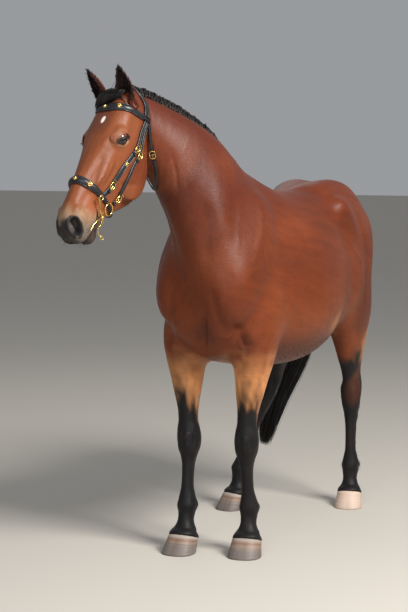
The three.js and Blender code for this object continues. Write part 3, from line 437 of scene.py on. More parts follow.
def net_of(field, low, high, cell):
    """Surface nets: one vertex in each cell that the surface crosses, one quad for each crossed edge."""
    counts = [int(math.ceil((b - a) / cell / COARSE)) * COARSE + 1 for a, b in zip(low, high)]
    axes = [a + cell * np.arange(n) for a, n in zip(low, counts)]
    sparse = [axis[::COARSE] for axis in axes]
    corners = np.stack(np.meshgrid(*sparse, indexing="ij"), -1).reshape(-1, 3)
    grid = field(corners).reshape([len(axis) for axis in sparse])
    for k in range(3):
        grid = np.repeat(grid, COARSE, k)
    grid = grid[: counts[0], : counts[1], : counts[2]].astype(np.float32)
    near = np.abs(grid) < cell * COARSE * 1.6
    where = np.argwhere(near)
    grid[near] = field(np.stack([axes[k][where[:, k]] for k in range(3)], 1))

    cells = tuple(n - 1 for n in grid.shape)
    total = np.zeros((*cells, 3), np.float32)
    hits = np.zeros(cells, np.float32)
    quads = []
    for k in range(3):
        first = [slice(None)] * 3
        second = [slice(None)] * 3
        first[k], second[k] = slice(0, -1), slice(1, None)
        a, b = grid[tuple(first)], grid[tuple(second)]
        crossed = np.argwhere((a < 0) != (b < 0))
        va, vb = a[tuple(crossed.T)], b[tuple(crossed.T)]
        place = crossed.astype(np.float32)
        place[:, k] += va / (va - vb)
        others = [j for j in range(3) if j != k]
        around = []
        for da, db in ((0, 0), (0, -1), (-1, -1), (-1, 0)):
            cell_index = crossed.copy()
            cell_index[:, others[0]] += da
            cell_index[:, others[1]] += db
            np.add.at(total, tuple(cell_index.T), place)
            np.add.at(hits, tuple(cell_index.T), 1)
            around.append(cell_index)
        quad = np.stack(around, 1)
        turned = (va < 0) != (k == 1)
        quad[turned] = quad[turned][:, ::-1]
        quads.append(quad)
    used = hits > 0
    index = np.full(cells, -1, np.int64)
    index[used] = np.arange(used.sum())
    points = total[used] / hits[used][:, None] * cell + np.array(low)
    quads = np.concatenate(quads)
    return points, index[quads[..., 0], quads[..., 1], quads[..., 2]]


def divide(points, faces, chosen, parts):
    """Splits the chosen quads into parts by parts, with the new edge points also on their neighbours."""
    edges = {}
    points = list(points)
    steps = [i / parts for i in range(1, parts)]

    def edge_points(a, b):
        key = (min(a, b), max(a, b))
        if key not in edges:
            first = len(points)
            points.extend(points[key[0]] * (1 - u) + points[key[1]] * u for u in steps)
            edges[key] = list(range(first, first + parts - 1))
        return edges[key] if key[0] == a else edges[key][::-1]

    polygons = []
    for a, b, c, d in faces[chosen].tolist():
        bottom, right = edge_points(a, b), edge_points(b, c)
        top, left = edge_points(d, c), edge_points(a, d)
        rows = [[a, *bottom, b]]
        for j in range(1, parts):
            u = j / parts
            start, end = points[left[j - 1]], points[right[j - 1]]
            first = len(points)
            points.extend(start * (1 - i / parts) + end * (i / parts) for i in range(1, parts))
            rows.append([left[j - 1], *range(first, first + parts - 1), right[j - 1]])
        rows.append([d, *top, c])
        for low, high in zip(rows[:-1], rows[1:]):
            polygons.extend((low[i], low[i + 1], high[i + 1], high[i]) for i in range(parts))
    for quad in faces[~chosen].tolist():
        polygon = []
        for a, b in zip(quad, quad[1:] + quad[:1]):
            polygon.append(a)
            key = (min(a, b), max(a, b))
            if key in edges:
                polygon.extend(edges[key] if key[0] == a else edges[key][::-1])
        polygons.append(tuple(polygon))
    return np.array(points), polygons


def ring_faces(rings, around, closed=False):
    """The quads between each ring of points and the next."""
    faces = []
    for i in range(rings if closed else rings - 1):
        a, b = i * around, (i + 1) % rings * around
        for j in range(around):
            k = (j + 1) % around
            faces.append((a + j, a + k, b + k, b + j))
    return faces


def flipped(polygons):
    return [tuple(reversed(p)) for p in polygons]


def linked(name, data):
    thing = bpy.data.objects.new(name, data)
    bpy.context.scene.collection.objects.link(thing)
    return thing


def new_mesh(name, points, polygons):
    """A smooth piece whose mesh holds its place, from points in the body's millimetres."""
    mesh = bpy.data.meshes.new(name)
    mesh.from_pydata(((np.asarray(points) + SHIFT) * MM).tolist(), [], polygons)
    mesh.update()
    mesh.shade_smooth()
    return linked(name, mesh)


# ---------------------------------------------------------------- the skin

SKIN_ROUNDS = 3
HEAD_FINE, LEG_FINE = 3, 2  # how finely the quads of the head and the lower legs are divided
HEAD_EDGE, LEG_TOP = 0.3, 620


def head_zone(points):
    """1 on the head and throat, fading out down the neck."""
    local = to_head(points)
    return smoothstep(-70, -20, local[:, 0]) * smoothstep(-420, -330, local[:, 1])


points, faces = net_of(skin_field, *REACH, CELL)
middles = points[faces].mean(1)
points, polygons = divide(points, faces, head_zone(middles) > HEAD_EDGE, HEAD_FINE)
quads = np.array([p for p in polygons if len(p) == 4])
others = [p for p in polygons if len(p) != 4]
points, polygons = divide(points, quads, points[quads].mean(1)[:, 2] < LEG_TOP, LEG_FINE)
polygons += others
points, normals = settle(points, rounds=SKIN_ROUNDS)

# ---------------------------------------------------------------- the relief of muscle, bone and fold

# Each stroke raises or sinks the skin along a line: points near the surface, half width, height.
BODY_STROKES = [  # on the left, and mirrored to the right
    ([(772, 118, 1600), (752, 108, 1500), (740, 92, 1400), (726, 84, 1300)], 26, -7),  # jugular groove
    ([(520, 128, 1640), (606, 162, 1540), (650, 172, 1440)], 46, -7),  # before the shoulder blade
    ([(300, 150, 1560), (300, 225, 1400), (285, 262, 1280)], 55, -6),  # behind the shoulder blade
    ([(400, 150, 1560), (470, 210, 1440), (560, 235, 1330)], 22, 5),  # spine of the shoulder blade
    ([(600, 238, 1260), (560, 262, 1190), (470, 288, 1130)], 40, -6),  # between shoulder and forearm muscle
    ([(330, 272, 1250), (320, 300, 1130), (350, 290, 1020)], 34, -9),  # behind the triceps
    ([(245, 276, 1176), (243, 276, 1126), (234, 272, 1076)], 7, 5),  # a fold behind the elbow
    ([(225, 300, 1200), (200, 305, 1080), (170, 290, 980)], 15, 3.2),
    ([(140, 315, 1220), (115, 318, 1090), (90, 300, 970)], 16, 3.2),  # ribs
    ([(50, 325, 1230), (25, 328, 1100), (5, 305, 970)], 16, 3),
    ([(-40, 325, 1240), (-70, 325, 1110), (-90, 300, 980)], 16, 2.6),
    ([(-330, 190, 1480), (-345, 235, 1390), (-330, 260, 1290)], 60, -13),  # hollow of the flank
    ([(-395, 255, 1120), (-350, 275, 1020), (-290, 250, 930)], 34, -11),  # before the stifle
    ([(-300, 285, 960), (-360, 262, 1040), (-400, 250, 1130)], 14, 5),  # fold of the flank
    ([(-130, 40, 1600), (-300, 90, 1560), (-420, 160, 1520)], 40, -6),  # loin
    ([(-500, 175, 1500), (-600, 205, 1400), (-640, 225, 1290)], 30, -7),  # behind the point of the hip
    ([(-790, 120, 1420), (-800, 170, 1290), (-790, 190, 1160), (-760, 190, 1050)], 26, -9),  # thigh groove
    ([(-640, 225, 1240), (-600, 225, 1120), (-590, 215, 1010)], 24, -5),
    ([(-560, 200, 940), (-620, 170, 880), (-650, 150, 820)], 22, -5),
    ([(690, 100, 1200), (672, 118, 1120), (640, 128, 1030)], 16, -8),  # beside the breast muscle
    ([(640, 150, 1060), (600, 185, 1010), (560, 200, 950)], 20, -6),
    ([(585, 176, 1010), (562, 184, 935), (546, 182, 864)], 6, -7),  # creases of the armpit
    ([(600, 160, 985), (585, 160, 930), (568, 156, 880)], 5, -6),
    ([(560, 150, 1560), (610, 175, 1450), (640, 185, 1360)], 9, 2.5),
    ([(476, 261, 1016), (516, 244, 953), (531, 217, 887)], 12, -4),  # upper edge of the forearm muscle
    ([(440, 215, 930), (450, 205, 850), (462, 190, 760)], 12, -3.5),
    ([(843, 52, 1801), (818, 46, 1708), (793, 40, 1610)], 10, -4),  # windpipe
    ([(-95, 24, 1616), (-153, 150, 1562), (-303, 232, 1441), (-534, 236, 1266), (-558, 238, 1135)], 10, 4),
    ([(-391, 95, 1647), (-341, 198, 1572), (-471, 232, 1434), (-536, 228, 1331)], 10, 4),  # the haunch
    ([(670, 92, 1010), (623, 124, 982), (613, 148, 1001)], 9, 5),
    ([(590, 164, 1000), (566, 180, 954), (549, 215, 954)], 9, -8),  # fold at the top of the forearm
    ([(253, 268, 1245), (258, 274, 1173), (267, 272, 1108)], 8, 4),
]
MIDDLE_STROKES = [  # along the middle of the body, or on one side only
    ([(702, 58, 1110), (684, 44, 1040), (650, 24, 965), (600, 0, 905)], 14, -19),  # breast
    ([(-130, 0, 1619), (-320, -10, 1640), (-560, 0, 1640), (-760, 0, 1560)], 24, -7),  # middle of the rump
    ([(400, 0, 1640), (250, 0, 1620), (60, -5, 1600), (-100, -10, 1610)], 30, 3),
]
# In the head's own directions: down the face, out of the forehead, to the left; mirrored to the right
HEAD_STROKES = [
    ([(318, -40, 84), (372, -42, 76), (428, -40, 66)], 8, 4.5),  # crest of the cheek bone
    ([(318, -58, 86), (372, -62, 80), (430, -62, 64)], 14, -4),
    ([(140, 4, 86), (166, -6, 90)], 24, -3.5),  # hollow above the eye
    ([(215, 22, 78), (250, 30, 62), (290, 30, 52)], 12, 3),  # rim of the brow
    ([(300, 8, 66), (360, 18, 54), (430, 26, 46), (500, 32, 42)], 15, -4.5),  # beside the nose bone
    ([(480, 5, 58), (520, 12, 54), (570, 22, 44)], 22, -5),
    ([(340, -10, 74), (380, -22, 72), (425, -14, 64), (470, -20, 60)], 3.5, 2.6),  # veins
    ([(380, -22, 72), (395, -48, 76), (430, -70, 68)], 3.2, 2.4),
    ([(425, -14, 64), (450, 2, 58), (490, 8, 54)], 3, 2.2),
    ([(250, -52, 92), (300, -66, 90), (345, -72, 84)], 3, 1.8),
    ([(262, -118, 92), (262, -180, 84), (244, -235, 72)], 46, 4),  # cheek muscle
    ([(380, -120, 72), (350, -165, 74), (318, -215, 66)], 14, -5),  # edge of the cheek
    ([(100, -140, 88), (120, -190, 84), (150, -245, 68)], 17, -7),  # before the neck
    ([(600, 25, 50), (575, 8, 56), (560, -14, 58)], 13, -5),  # behind the nostril
    ([(540, -62, 58), (520, -56, 60), (505, -48, 62)], 9, -3),  # corner of the mouth
    ([(556, -92, 46), (585, -104, 40), (610, -110, 28)], 9, 3),  # lower lip
    ([(560, -44, 58), (600, -50, 50), (640, -48, 36)], 12, 3),  # upper lip
    ([(690, -6, 14), (696, -30, 12), (690, -52, 12)], 6, 2),
]
NOSTRIL_RIMS = [
    [(629, 38, 41), (625, 23, 55), (636, -5, 59), (654, -30, 54), (676, -38, 46)],
    [(632, 38, 39), (650, 43, 29), (669, 28, 29), (684, 6, 34), (688, -18, 38)],
]
RIM_WIDTH, RIM_HEIGHT = 7, 6
NOSTRIL = [(642, 20, 48), (655, 2, 51), (667, -16, 49)]
NOSTRIL_WIDTH, NOSTRIL_DEPTH = 17, -26
NOSTRIL_FLAP = [(652, 22, 38), (664, 4, 41), (672, -14, 43)]
FLAP_WIDTH, FLAP_HEIGHT = 8, 14
MOUTH = [(540, -72, 60), (565, -80, 57), (600, -86, 48), (640, -88, 34), (668, -86, 16), (674, -84, 0)]
MOUTH_WIDTH, MOUTH_DEPTH = 3.2, -6.5

# On the legs: height, forward of the axis, outward of it (mirrored inward where the last word is True)
LEG_STROKES = {
    "fore": [
        ([(410, -14, 28), (350, -16, 26), (280, -18, 27), (235, -20, 30)], 8, -7.5, True),  # tendon
        ([(405, -30, 24), (340, -31, 22), (270, -32, 24)], 4, -2, True),
        ([(540, 40, 20), (520, 48, 14), (500, 48, 14)], 12, 6, True),  # bones of the knee
        ([(482, 44, 16), (468, 44, 14)], 10, 5, True),
        ([(530, 30, 40), (500, 30, 44), (470, 28, 38)], 9, -6, True),
        ([(520, 0, 48), (500, 0, 48)], 13, 4, True),
        ([(508, -50, 8), (520, -58, 0), (540, -50, 0)], 16, 7, False),  # bone at the back of the knee
        ([(560, -20, 38), (620, -22, 36), (700, -26, 44)], 9, -4, True),
        ([(590, 36, 26), (660, 40, 30), (740, 54, 38), (810, 70, 50)], 9, -4, True),
        ([(205, -30, 36), (190, -34, 34)], 13, 4, True),  # sides of the fetlock
        ([(225, 14, 34), (200, 14, 36)], 8, -2.5, True),
        ([(160, -24, 26), (140, -14, 27)], 8, -3.5, True),
        ([(182, -48, 0), (172, -46, 0)], 12, 5, False),  # ergot
        ([(96, 60, 36), (94, 20, 46), (98, -18, 40)], 9, 3, True),  # above the coronet
    ],
    "hind": [
        ([(500, -14, 30), (420, -16, 28), (320, -18, 28), (245, -20, 31)], 8, -7.5, True),
        ([(490, -34, 24), (400, -34, 22), (300, -34, 24)], 4, -2, True),
        ([(655, -40, 24), (700, -38, 28), (760, -42, 34), (820, -40, 44)], 13, -11, True),  # above the hock
        ([(660, -70, 0), (640, -76, 0), (622, -72, 0)], 15, 6, False),  # point of the hock
        ([(585, 10, 42), (560, 10, 42)], 15, 4, True),
        ([(620, 34, 30), (580, 40, 22), (540, 38, 20)], 10, 3.5, True),
        ([(610, -20, 44), (570, -24, 40), (520, -26, 32)], 9, -4, True),
        ([(700, 36, 30), (780, 52, 38), (850, 60, 48)], 12, -4, True),
        ([(205, -32, 36), (188, -36, 34)], 13, 4, True),
        ([(160, -24, 26), (140, -14, 27)], 8, -3.5, True),
        ([(182, -50, 0), (172, -48, 0)], 12, 5, False),
        ([(92, 56, 34), (90, 16, 44), (94, -18, 40)], 9, 3, True),
    ],
}


def along_line(points, line):
    """Distance of each point from a polyline, and how far along it (0 to 1) the nearest place is."""
    line = np.array(line, float)
    best = np.full(len(points), 1e9)
    place = np.zeros(len(points))
    pieces = max(len(line) - 1, 1)
    for i in range(len(line) - 1):
        a, run = line[i], line[i + 1] - line[i]
        u = np.clip((points - a) @ run / max(run @ run, 1e-9), 0, 1)
        d = np.linalg.norm(points - a - u[:, None] * run, axis=1)
        closer = d < best
        best = np.where(closer, d, best)
        place = np.where(closer, (i + u) / pieces, place)
    return best, place


def relief(points, line, half, height):
    """A soft ridge or groove along a line, fading towards both ends."""
    line = np.array(line, float)
    amount = np.zeros(len(points))
    reach = half * 2.2
    box = np.all((points > line.min(0) - reach) & (points < line.max(0) + reach), axis=1)
    if box.any():
        d, place = along_line(points[box], line)
        ends = smoothstep(0, 0.25, place) * smoothstep(1, 0.75, place) if len(line) > 2 else 1.0
        amount[box] = height * np.exp(-((d / half) ** 2)) * (0.25 + 0.75 * ends)
    return amount


def leg_points(name, line, inward):
    """Places given by height, forward and outward, in the body's frame."""
    leg = LEGS[name]
    z, forward, outward = np.array(line, float).T
    x, y, fx, fy = leg_frame(name, z)
    left = outward * leg["side"] * (-1 if inward else 1)
    return np.stack([x + forward * fx - left * fy, y + forward * fy + left * fx, z], 1)


def carve(points):
    """How far the skin moves along its normal for every stroke."""
    amount = np.zeros(len(points))
    for line, half, height in BODY_STROKES:
        line, _ = settle(line, rounds=2)
        amount += relief(points, line, half, height)
        right = np.column_stack([line[:, 0], sway(line[:, 0]) * 2 - line[:, 1], line[:, 2]])
        amount += relief(points, settle(right, rounds=3)[0], half, height)
    for line, half, height in MIDDLE_STROKES:
        amount += relief(points, settle(line, rounds=3)[0], half, height)
    for name, leg in LEGS.items():
        for line, half, height, both in LEG_STROKES[leg["kind"]]:
            for inward in (False, True) if both else (False,):
                placed_line, _ = settle(leg_points(name, line, inward), rounds=2)
                amount += relief(points, placed_line, half, height)
    local = to_head(points)
    in_head = (local[:, 0] > -120) & (local[:, 1] > -430)
    head_points, moved = points[in_head], np.zeros(in_head.sum())
    strokes = HEAD_STROKES + [(rim, RIM_WIDTH, RIM_HEIGHT) for rim in NOSTRIL_RIMS]
    for side in (1, -1):

        def placed(line, rounds=2):
            return settle(from_head(np.array(line) * (1, 1, side)), rounds=rounds)[0]

        for line, half, height in strokes:
            moved += relief(head_points, placed(line), half, height)
        d, _ = along_line(head_points, placed(NOSTRIL))
        moved += NOSTRIL_DEPTH * np.exp(-((d / NOSTRIL_WIDTH) ** 4))
        moved += relief(head_points, placed(NOSTRIL_FLAP), FLAP_WIDTH, FLAP_HEIGHT)
        d, place = along_line(head_points, placed(MOUTH, 3))
        moved += MOUTH_DEPTH * np.exp(-((d / MOUTH_WIDTH) ** 2)) * smoothstep(0, 0.15, place)
    amount[in_head] += moved
    return amount


points += normals * carve(points)[:, None]

# ---------------------------------------------------------------- the coat's colours

LATTICE = RNG.random((64, 64, 64)).astype(np.float32)
STREAK_SQUEEZE = 0.86


def cloud(points, size, seed=0.0):
    """Smooth noise from 0 to 1, with lumps of about the given size in millimetres."""
    q = points / size + seed
    i = np.floor(q).astype(int)
    u = q - i
    u = u * u * (3 - 2 * u)
    total = np.zeros(len(points))
    for dx in (0, 1):
        for dy in (0, 1):
            for dz in (0, 1):
                w = (u[:, 0] if dx else 1 - u[:, 0]) * (u[:, 1] if dy else 1 - u[:, 1])
                w = w * (u[:, 2] if dz else 1 - u[:, 2])
                total += w * LATTICE[(i[:, 0] + dx) % 64, (i[:, 1] + dy) % 64, (i[:, 2] + dz) % 64]
    return total


def shade(red, green, blue):
    """A colour from its usual 0 to 255 values to the linear ones the renderer uses."""
    v = np.array([red, green, blue]) / 255
    return np.where(v <= 0.04045, v / 12.92, ((v + 0.055) / 1.055) ** 2.4)


BAY = shade(101, 44, 18)
# Darker bay of the mottles and the upper neck, also used for painted shade
BAY_DARK_AND_SHADE = shade(66, 26, 13)
BAY_RED = shade(88, 33, 13)
BAY_LIGHT = shade(138, 72, 36)
# Pale sandy coat of the flanks, belly and gaskins, also the forearms' painted sunlight
BAY_SAND_AND_SUNLIGHT = shade(220, 152, 96)
FACE = shade(130, 72, 42)
FOREHEAD = shade(96, 50, 34)
# Black of the points, the rims and the long hair; also painted shade in the nostrils' holes, the mouth's slit
# and the ears' hollows
BLACK = shade(17, 16, 17)
SOOT = shade(48, 34, 27)
MUZZLE_GREY = shade(116, 104, 94)
MUZZLE_PALE = shade(140, 112, 86)
NOSTRIL_SKIN = shade(70, 64, 62)
LID_SKIN = shade(38, 32, 30)
LID_PALE = shade(150, 110, 84)
WHITE_HAIR = shade(236, 230, 222)
CHESTNUT = shade(150, 136, 120)
# Painted shade in the folds of the chest and armpit and between the forelegs: middle, radii, share
PAINTED_SHADE_PLACES = [
    ((660, 35, 1000), (40, 70, 120), 0.5),
    ((560, -110, 860), (90, 110, 70), 0.5),
    ((530, 60, 870), (90, 90, 70), 0.5),
    ((560, 180, 960), (45, 60, 60), 0.35),
]
FLANKS = ((-250, 300, 960), (-250, -300, 960))


def mix(colour, other, share):
    return colour + (other - colour) * np.clip(share, 0, 1)[:, None]


def near(points, place, radii):
    """1 at a place, falling to 0 at the given distances from it."""
    return smoothstep(1.0, 0.45, np.linalg.norm((points - np.array(place)) / np.array(radii), axis=1))


def leg_of(points):
    """Places forward and outward of the nearest leg's axis, whether it is a hind leg, and how near it is."""
    best = np.full(len(points), 1e9)
    forward, outward, hind = (np.zeros(len(points)) for _ in range(3))
    for name in LEGS:
        x, y, fx, fy = leg_frame(name, points[:, 2])
        dx, dy = points[:, 0] - x, points[:, 1] - y
        d = np.hypot(dx, dy)
        closer = d < best
        best = np.where(closer, d, best)
        forward = np.where(closer, dx * fx + dy * fy, forward)
        outward = np.where(closer, (dy * fx - dx * fy) * LEGS[name]["side"], outward)
        hind = np.where(closer, float(LEGS[name]["kind"] == "hind"), hind)
    return forward, outward, hind, best


def regions(points):
    """How far each point belongs to the trunk, the neck, the legs and the head."""
    head = head_zone(points)
    low = smoothstep(1000, 760, points[:, 2]) * (1 - head)
    neck = smoothstep(420, 640, points[:, 0]) * smoothstep(1250, 1450, points[:, 2]) * (1 - head)
    return np.clip(1 - head - low - neck, 0, 1), neck, low, head


def flow_grain(points):
    """The points squeezed along the lie of the hair, so that noise read from them draws out into streaks."""
    ways = [(-0.97, 0, -0.24), (-0.62, 0, -0.78), (0.05, 0, -1.0), tuple(HEAD[0])]
    grain = np.zeros_like(points)
    for way, share in zip(ways, regions(points)):
        way = unit(np.array(way))
        grain += (points - np.outer(points @ way, way) * STREAK_SQUEEZE) * share[:, None]
    return grain * MM


def coat_colours(points, kinds=None):
    """The markings: bay body, black points, dark muzzle and ear rims, with painted shade in the folds, under
    the belly, on the left thigh and in the nostrils, the mouth and the ears, and painted sunlight on the
    forearms. Also how glossy each place is.
    """
    points = np.asarray(points, float)
    count = len(points)
    kinds = np.zeros(count) if kinds is None else kinds
    grain, local = flow_grain(points), to_head(points)
    x, y, z = points.T
    side = np.abs(y - sway(np.minimum(x, 0)))
    streak = cloud(grain / MM, 16)
    patch = cloud(points, 150, 3.3) - 0.5
    fine = cloud(points, 34, 1.7) - 0.5

    colour = np.tile(BAY, (count, 1))

    def lay(tone, share):
        colour[:] = mix(colour, tone, share)

    lay(BAY_RED, smoothstep(1420, 1620, z) * 0.75)
    lay(BAY_DARK_AND_SHADE, smoothstep(1200, 1700, z) * smoothstep(420, 700, x) * 0.35)
    lay(BAY_LIGHT, smoothstep(1250, 950, z) * smoothstep(650, 300, x) * 0.35)
    for flank in FLANKS:
        lay(BAY_SAND_AND_SUNLIGHT, near(points, flank, (170, 130, 110)) * 0.3)
    lay(BAY_SAND_AND_SUNLIGHT, smoothstep(120, 30, side) * smoothstep(1010, 880, z) * (x < 380) * 0.2)
    lay(BAY_LIGHT, np.clip(patch, 0, 1) * 0.4)
    lay(BAY_DARK_AND_SHADE, np.clip(-patch, 0, 1) * 0.6)
    # Painted shade in the folds of the chest and armpit and between the forelegs
    for place, radii, share in PAINTED_SHADE_PLACES:
        lay(BAY_DARK_AND_SHADE, near(points, place, radii) * share)
    # Painted shade under the belly, between the fore and hind legs
    between_legs = smoothstep(420, 330, x) * smoothstep(-420, -330, x)
    lay(BAY_DARK_AND_SHADE, smoothstep(1010, 900, z) * between_legs * 0.55)
    # Painted shade on the left thigh, behind its front
    lay(BAY_DARK_AND_SHADE, near(points, (-640, 215, 1050), (160, 120, 230)) * 0.6)

    forward, outward, hind, away = leg_of(points)
    ahead = np.clip(forward, -60, 60)
    reach = smoothstep(175, 120, away)
    fore = (1 - hind) * smoothstep(1000, 900, z) * smoothstep(190, 130, away)
    # Painted sunlight: the forearms above the black points lit to pale sand, more on their inner sides
    sunny = smoothstep(950, 740, z + fine * 70) * fore
    lay(BAY_SAND_AND_SUNLIGHT, sunny * (0.7 + 0.2 * (outward < 0)))
    on_leg = np.column_stack([forward, outward, z])
    gaskin = near(on_leg, (40, 30, 800), (90, 90, 170)) * hind
    lay(BAY_SAND_AND_SUNLIGHT, gaskin * 0.4)
    edge = cloud(points * (1, 1, 0.35), 17, 5.1) - 0.5
    fore_rise = 640 + ahead * 1.15 + np.clip(outward, -60, 60) * 0.25
    rise = np.where(hind > 0, 700 + ahead * 1.3, fore_rise)
    dark = smoothstep(rise + 45, rise - 35, z + edge * 95)
    dark *= ((hind > 0) * smoothstep(1010, 930, z) + fore) * reach
    front_of_hock = near(on_leg, (34, 22, 610), (60, 60, 120))
    dark *= 1 - hind * 0.3 * front_of_hock
    soot = smoothstep(rise + 130, rise, z + edge * 120) * (z < 980) * (1 - dark) * reach
    lay(SOOT, soot * 0.55)
    lay(BLACK, dark)
    lay(SOOT, dark * np.clip(fine + 0.1, 0, 1) * 0.35)
    lay(CHESTNUT, near(on_leg, (-8, -48, 690), (15, 20, 30)) * (hind < 1) * (outward < -30))
    lay(CHESTNUT, near(on_leg, (-8, -42, 575), (12, 20, 22)) * (hind > 0) * (outward < -25))

    t, n, s = local.T
    across = np.abs(s)
    head = head_zone(points)
    lay(FACE, head * smoothstep(-40, 120, t) * 0.85)
    lay(FOREHEAD, head * near(local, (120, 40, 0), (150, 60, 85)) * 0.75)
    lay(BAY_RED, head * smoothstep(-60, -160, n) * smoothstep(420, 250, t) * 0.7)
    lay(BAY_LIGHT, head * smoothstep(430, 520, t) * smoothstep(40, -20, n) * 0.6)
    lay(BAY_DARK_AND_SHADE, head * smoothstep(14, 4, across) * smoothstep(200, 330, t) * (n > 0) * 0.25)
    ragged = (streak - 0.5) * 46
    pale = smoothstep(535, 610, t - n * 0.35 + ragged)
    lay(MUZZLE_PALE, head * pale * 0.85)
    lay(MUZZLE_GREY, head * smoothstep(590, 660, t - n * 0.45 + ragged))
    front = smoothstep(34, 20, across) * smoothstep(638, 668, t + ragged * 0.6)
    lips = smoothstep(-66, -96, n + ragged * 0.3) * smoothstep(520, 580, t)
    lay(BLACK, head * np.maximum(front, smoothstep(676, 700, t)) * 0.9)
    lay(SOOT, head * lips * 0.75)
    folded = np.column_stack([t, n, across])
    rim = np.full(count, 1e9)
    for line in NOSTRIL_RIMS:
        rim = np.minimum(rim, along_line(folded, np.array(line) - (0, 0, 3))[0])
    hollow = along_line(folded, np.array(NOSTRIL) - (0, 0, 12))[0]
    lay(NOSTRIL_SKIN, head * smoothstep(30, 20, hollow))
    flap = along_line(folded, np.array(NOSTRIL_FLAP))[0]
    # Painted shade, black, deep in the nostril's hole
    lay(BLACK, head * smoothstep(24, 15, hollow) * smoothstep(7, 15, flap) * 0.95)
    lay(BLACK, head * smoothstep(13, 6, rim) * 0.85)
    # Painted shade, black, in the slit of the mouth
    slit = along_line(folded, np.array(MOUTH))[0]
    lay(BLACK, head * smoothstep(11, 4, slit) * 0.9)
    star = near(local, (152, 36, 9), (26, 40, 12)) * (0.55 + 0.45 * cloud(points, 9, 2.0))
    lay(WHITE_HAIR, head * smoothstep(0.25, 0.6, star))
    ring = np.hypot((t - 216) / 1.05, n + 23) * (across > 55)
    pale_ring = smoothstep(46, 36, ring) * smoothstep(24, 34, ring) * (across > 55)
    lay(LID_PALE, head * pale_ring * 0.25)

    if kinds.any():
        lid = kinds == 1
        for socket in (Socket(1), Socket(-1)):
            a, b, h = socket.local(points).T
            away = np.hypot(a / LID_HALF[0], b / np.where(b > 0, LID_UP, LID_DOWN))
            corner = np.hypot(np.maximum(np.abs(a) - LID_HALF[0] + 4, 0) / 15, b / 8)
            mine = lid & (h > 0) & (np.hypot(a, b) < 60)
            skin_dark = np.maximum(smoothstep(1.75, 1.25, away), smoothstep(1.3, 0.6, corner))
            lay(LID_PALE, mine * smoothstep(2.7, 1.9, away) * (b < 6) * 0.35)
            lay(LID_SKIN, mine * skin_dark * 0.95)
        for ear in EARS.values():
            foot, up, front_way = ear_frame(ear)
            rel = points - foot
            share = rel @ up / ear["length"]
            mine = (kinds >= 2) & (np.linalg.norm(rel - np.outer(rel @ up, up), axis=1) < 60)
            forwards = rel @ front_way - EAR_CURL * np.maximum(share, 0) ** 2
            opened = smoothstep(1, 8, forwards) * smoothstep(0.0, 0.15, share)
            black = np.maximum(opened, smoothstep(0.72, 0.9, share + (streak - 0.5) * 0.2))
            # Painted shade: the whole inside of the ear black, for the shade in its hollow
            black = np.maximum(black, kinds == 3)
            lay(BAY_RED, mine * 1.0)
            lay(BLACK, mine * black * 0.92)
    gloss = 1 - 0.55 * np.clip(dark + head * pale, 0, 1)
    return np.clip(colour * (0.93 + 0.14 * streak)[:, None], 0, 1), gloss, grain


def new_material(name, settings=None):
    """A material with its nodes, its links and its shader, whose sockets take the given settings."""
    material = bpy.data.materials.new(name)
    material.use_nodes = True
    tree = material.node_tree
    shader = tree.nodes["Principled BSDF"]
    set_sockets(shader, settings or {})
    return material, tree.nodes, tree.links, shader


def set_sockets(node, settings):
    for socket, value in settings.items():
        node.inputs[socket].default_value = value


def attribute(nodes, name):
    node = nodes.new("ShaderNodeAttribute")
    node.attribute_name = name
    return node


def noise(nodes, links, place, scale, detail=2):
    node = nodes.new("ShaderNodeTexNoise")
    set_sockets(node, {"Scale": scale, "Detail": detail})
    links.new(place, node.inputs["Vector"])
    return node.outputs["Fac"]


def roughen(nodes, links, shader, height, strength, distance):
    bump = nodes.new("ShaderNodeBump")
    set_sockets(bump, {"Strength": strength, "Distance": distance})
    links.new(height, bump.inputs["Height"])
    links.new(bump.outputs["Normal"], shader.inputs["Normal"])


def coat_material():
    """Short glossy hair: colour from the markings with their painted shade and sunlight, broken by fine
    streaks that also carry a slight relief.
    """
    material, nodes, links, shader = new_material("coat", {
        "Specular IOR Level": 0.24,
        "Sheen Weight": 0.03,
        "Sheen Roughness": 0.35,
        "Sheen Tint": (1.0, 0.86, 0.74, 1),
    })
    colour, grain, gloss = (attribute(nodes, name) for name in ("coat", "grain", "gloss"))
    both = nodes.new("ShaderNodeMath")
    both.operation = "ADD"
    for i, scale in enumerate((260, 34)):  # single hairs, and waves of them
        links.new(noise(nodes, links, grain.outputs["Vector"], scale, 3), both.inputs[i])
    level = nodes.new("ShaderNodeMapRange")
    set_sockets(level, {"From Min": 0.6, "From Max": 1.4, "To Min": 0.82, "To Max": 1.18})
    links.new(both.outputs[0], level.inputs["Value"])
    tinted = nodes.new("ShaderNodeVectorMath")
    tinted.operation = "SCALE"
    links.new(colour.outputs["Color"], tinted.inputs[0])
    links.new(level.outputs["Result"], tinted.inputs["Scale"])
    links.new(tinted.outputs["Vector"], shader.inputs["Base Color"])
    rough = nodes.new("ShaderNodeMapRange")
    set_sockets(rough, {"To Min": 0.62, "To Max": 0.44})
    links.new(gloss.outputs["Fac"], rough.inputs["Value"])
    links.new(rough.outputs["Result"], shader.inputs["Roughness"])
    roughen(nodes, links, shader, both.outputs[0], 0.35, 0.002)
    return material


COAT_MATERIAL = coat_material()


def dress(piece, colour, gloss, grain, material=COAT_MATERIAL):
    """Gives a piece the coat's colours, gloss and grain, one value for each point, and its material."""
    mesh = piece.data
    told = {
        "coat": ("FLOAT_COLOR", "color", np.column_stack([colour, np.ones(len(colour))])),
        "grain": ("FLOAT_VECTOR", "vector", grain),
        "gloss": ("FLOAT", "value", gloss),
    }
    for name, (kind, key, values) in told.items():
        makers = mesh.color_attributes if name == "coat" else mesh.attributes
        layer = makers.new(name, kind, "POINT")
        layer.data.foreach_set(key, np.asarray(values, np.float32).ravel())
    mesh.materials.append(material)


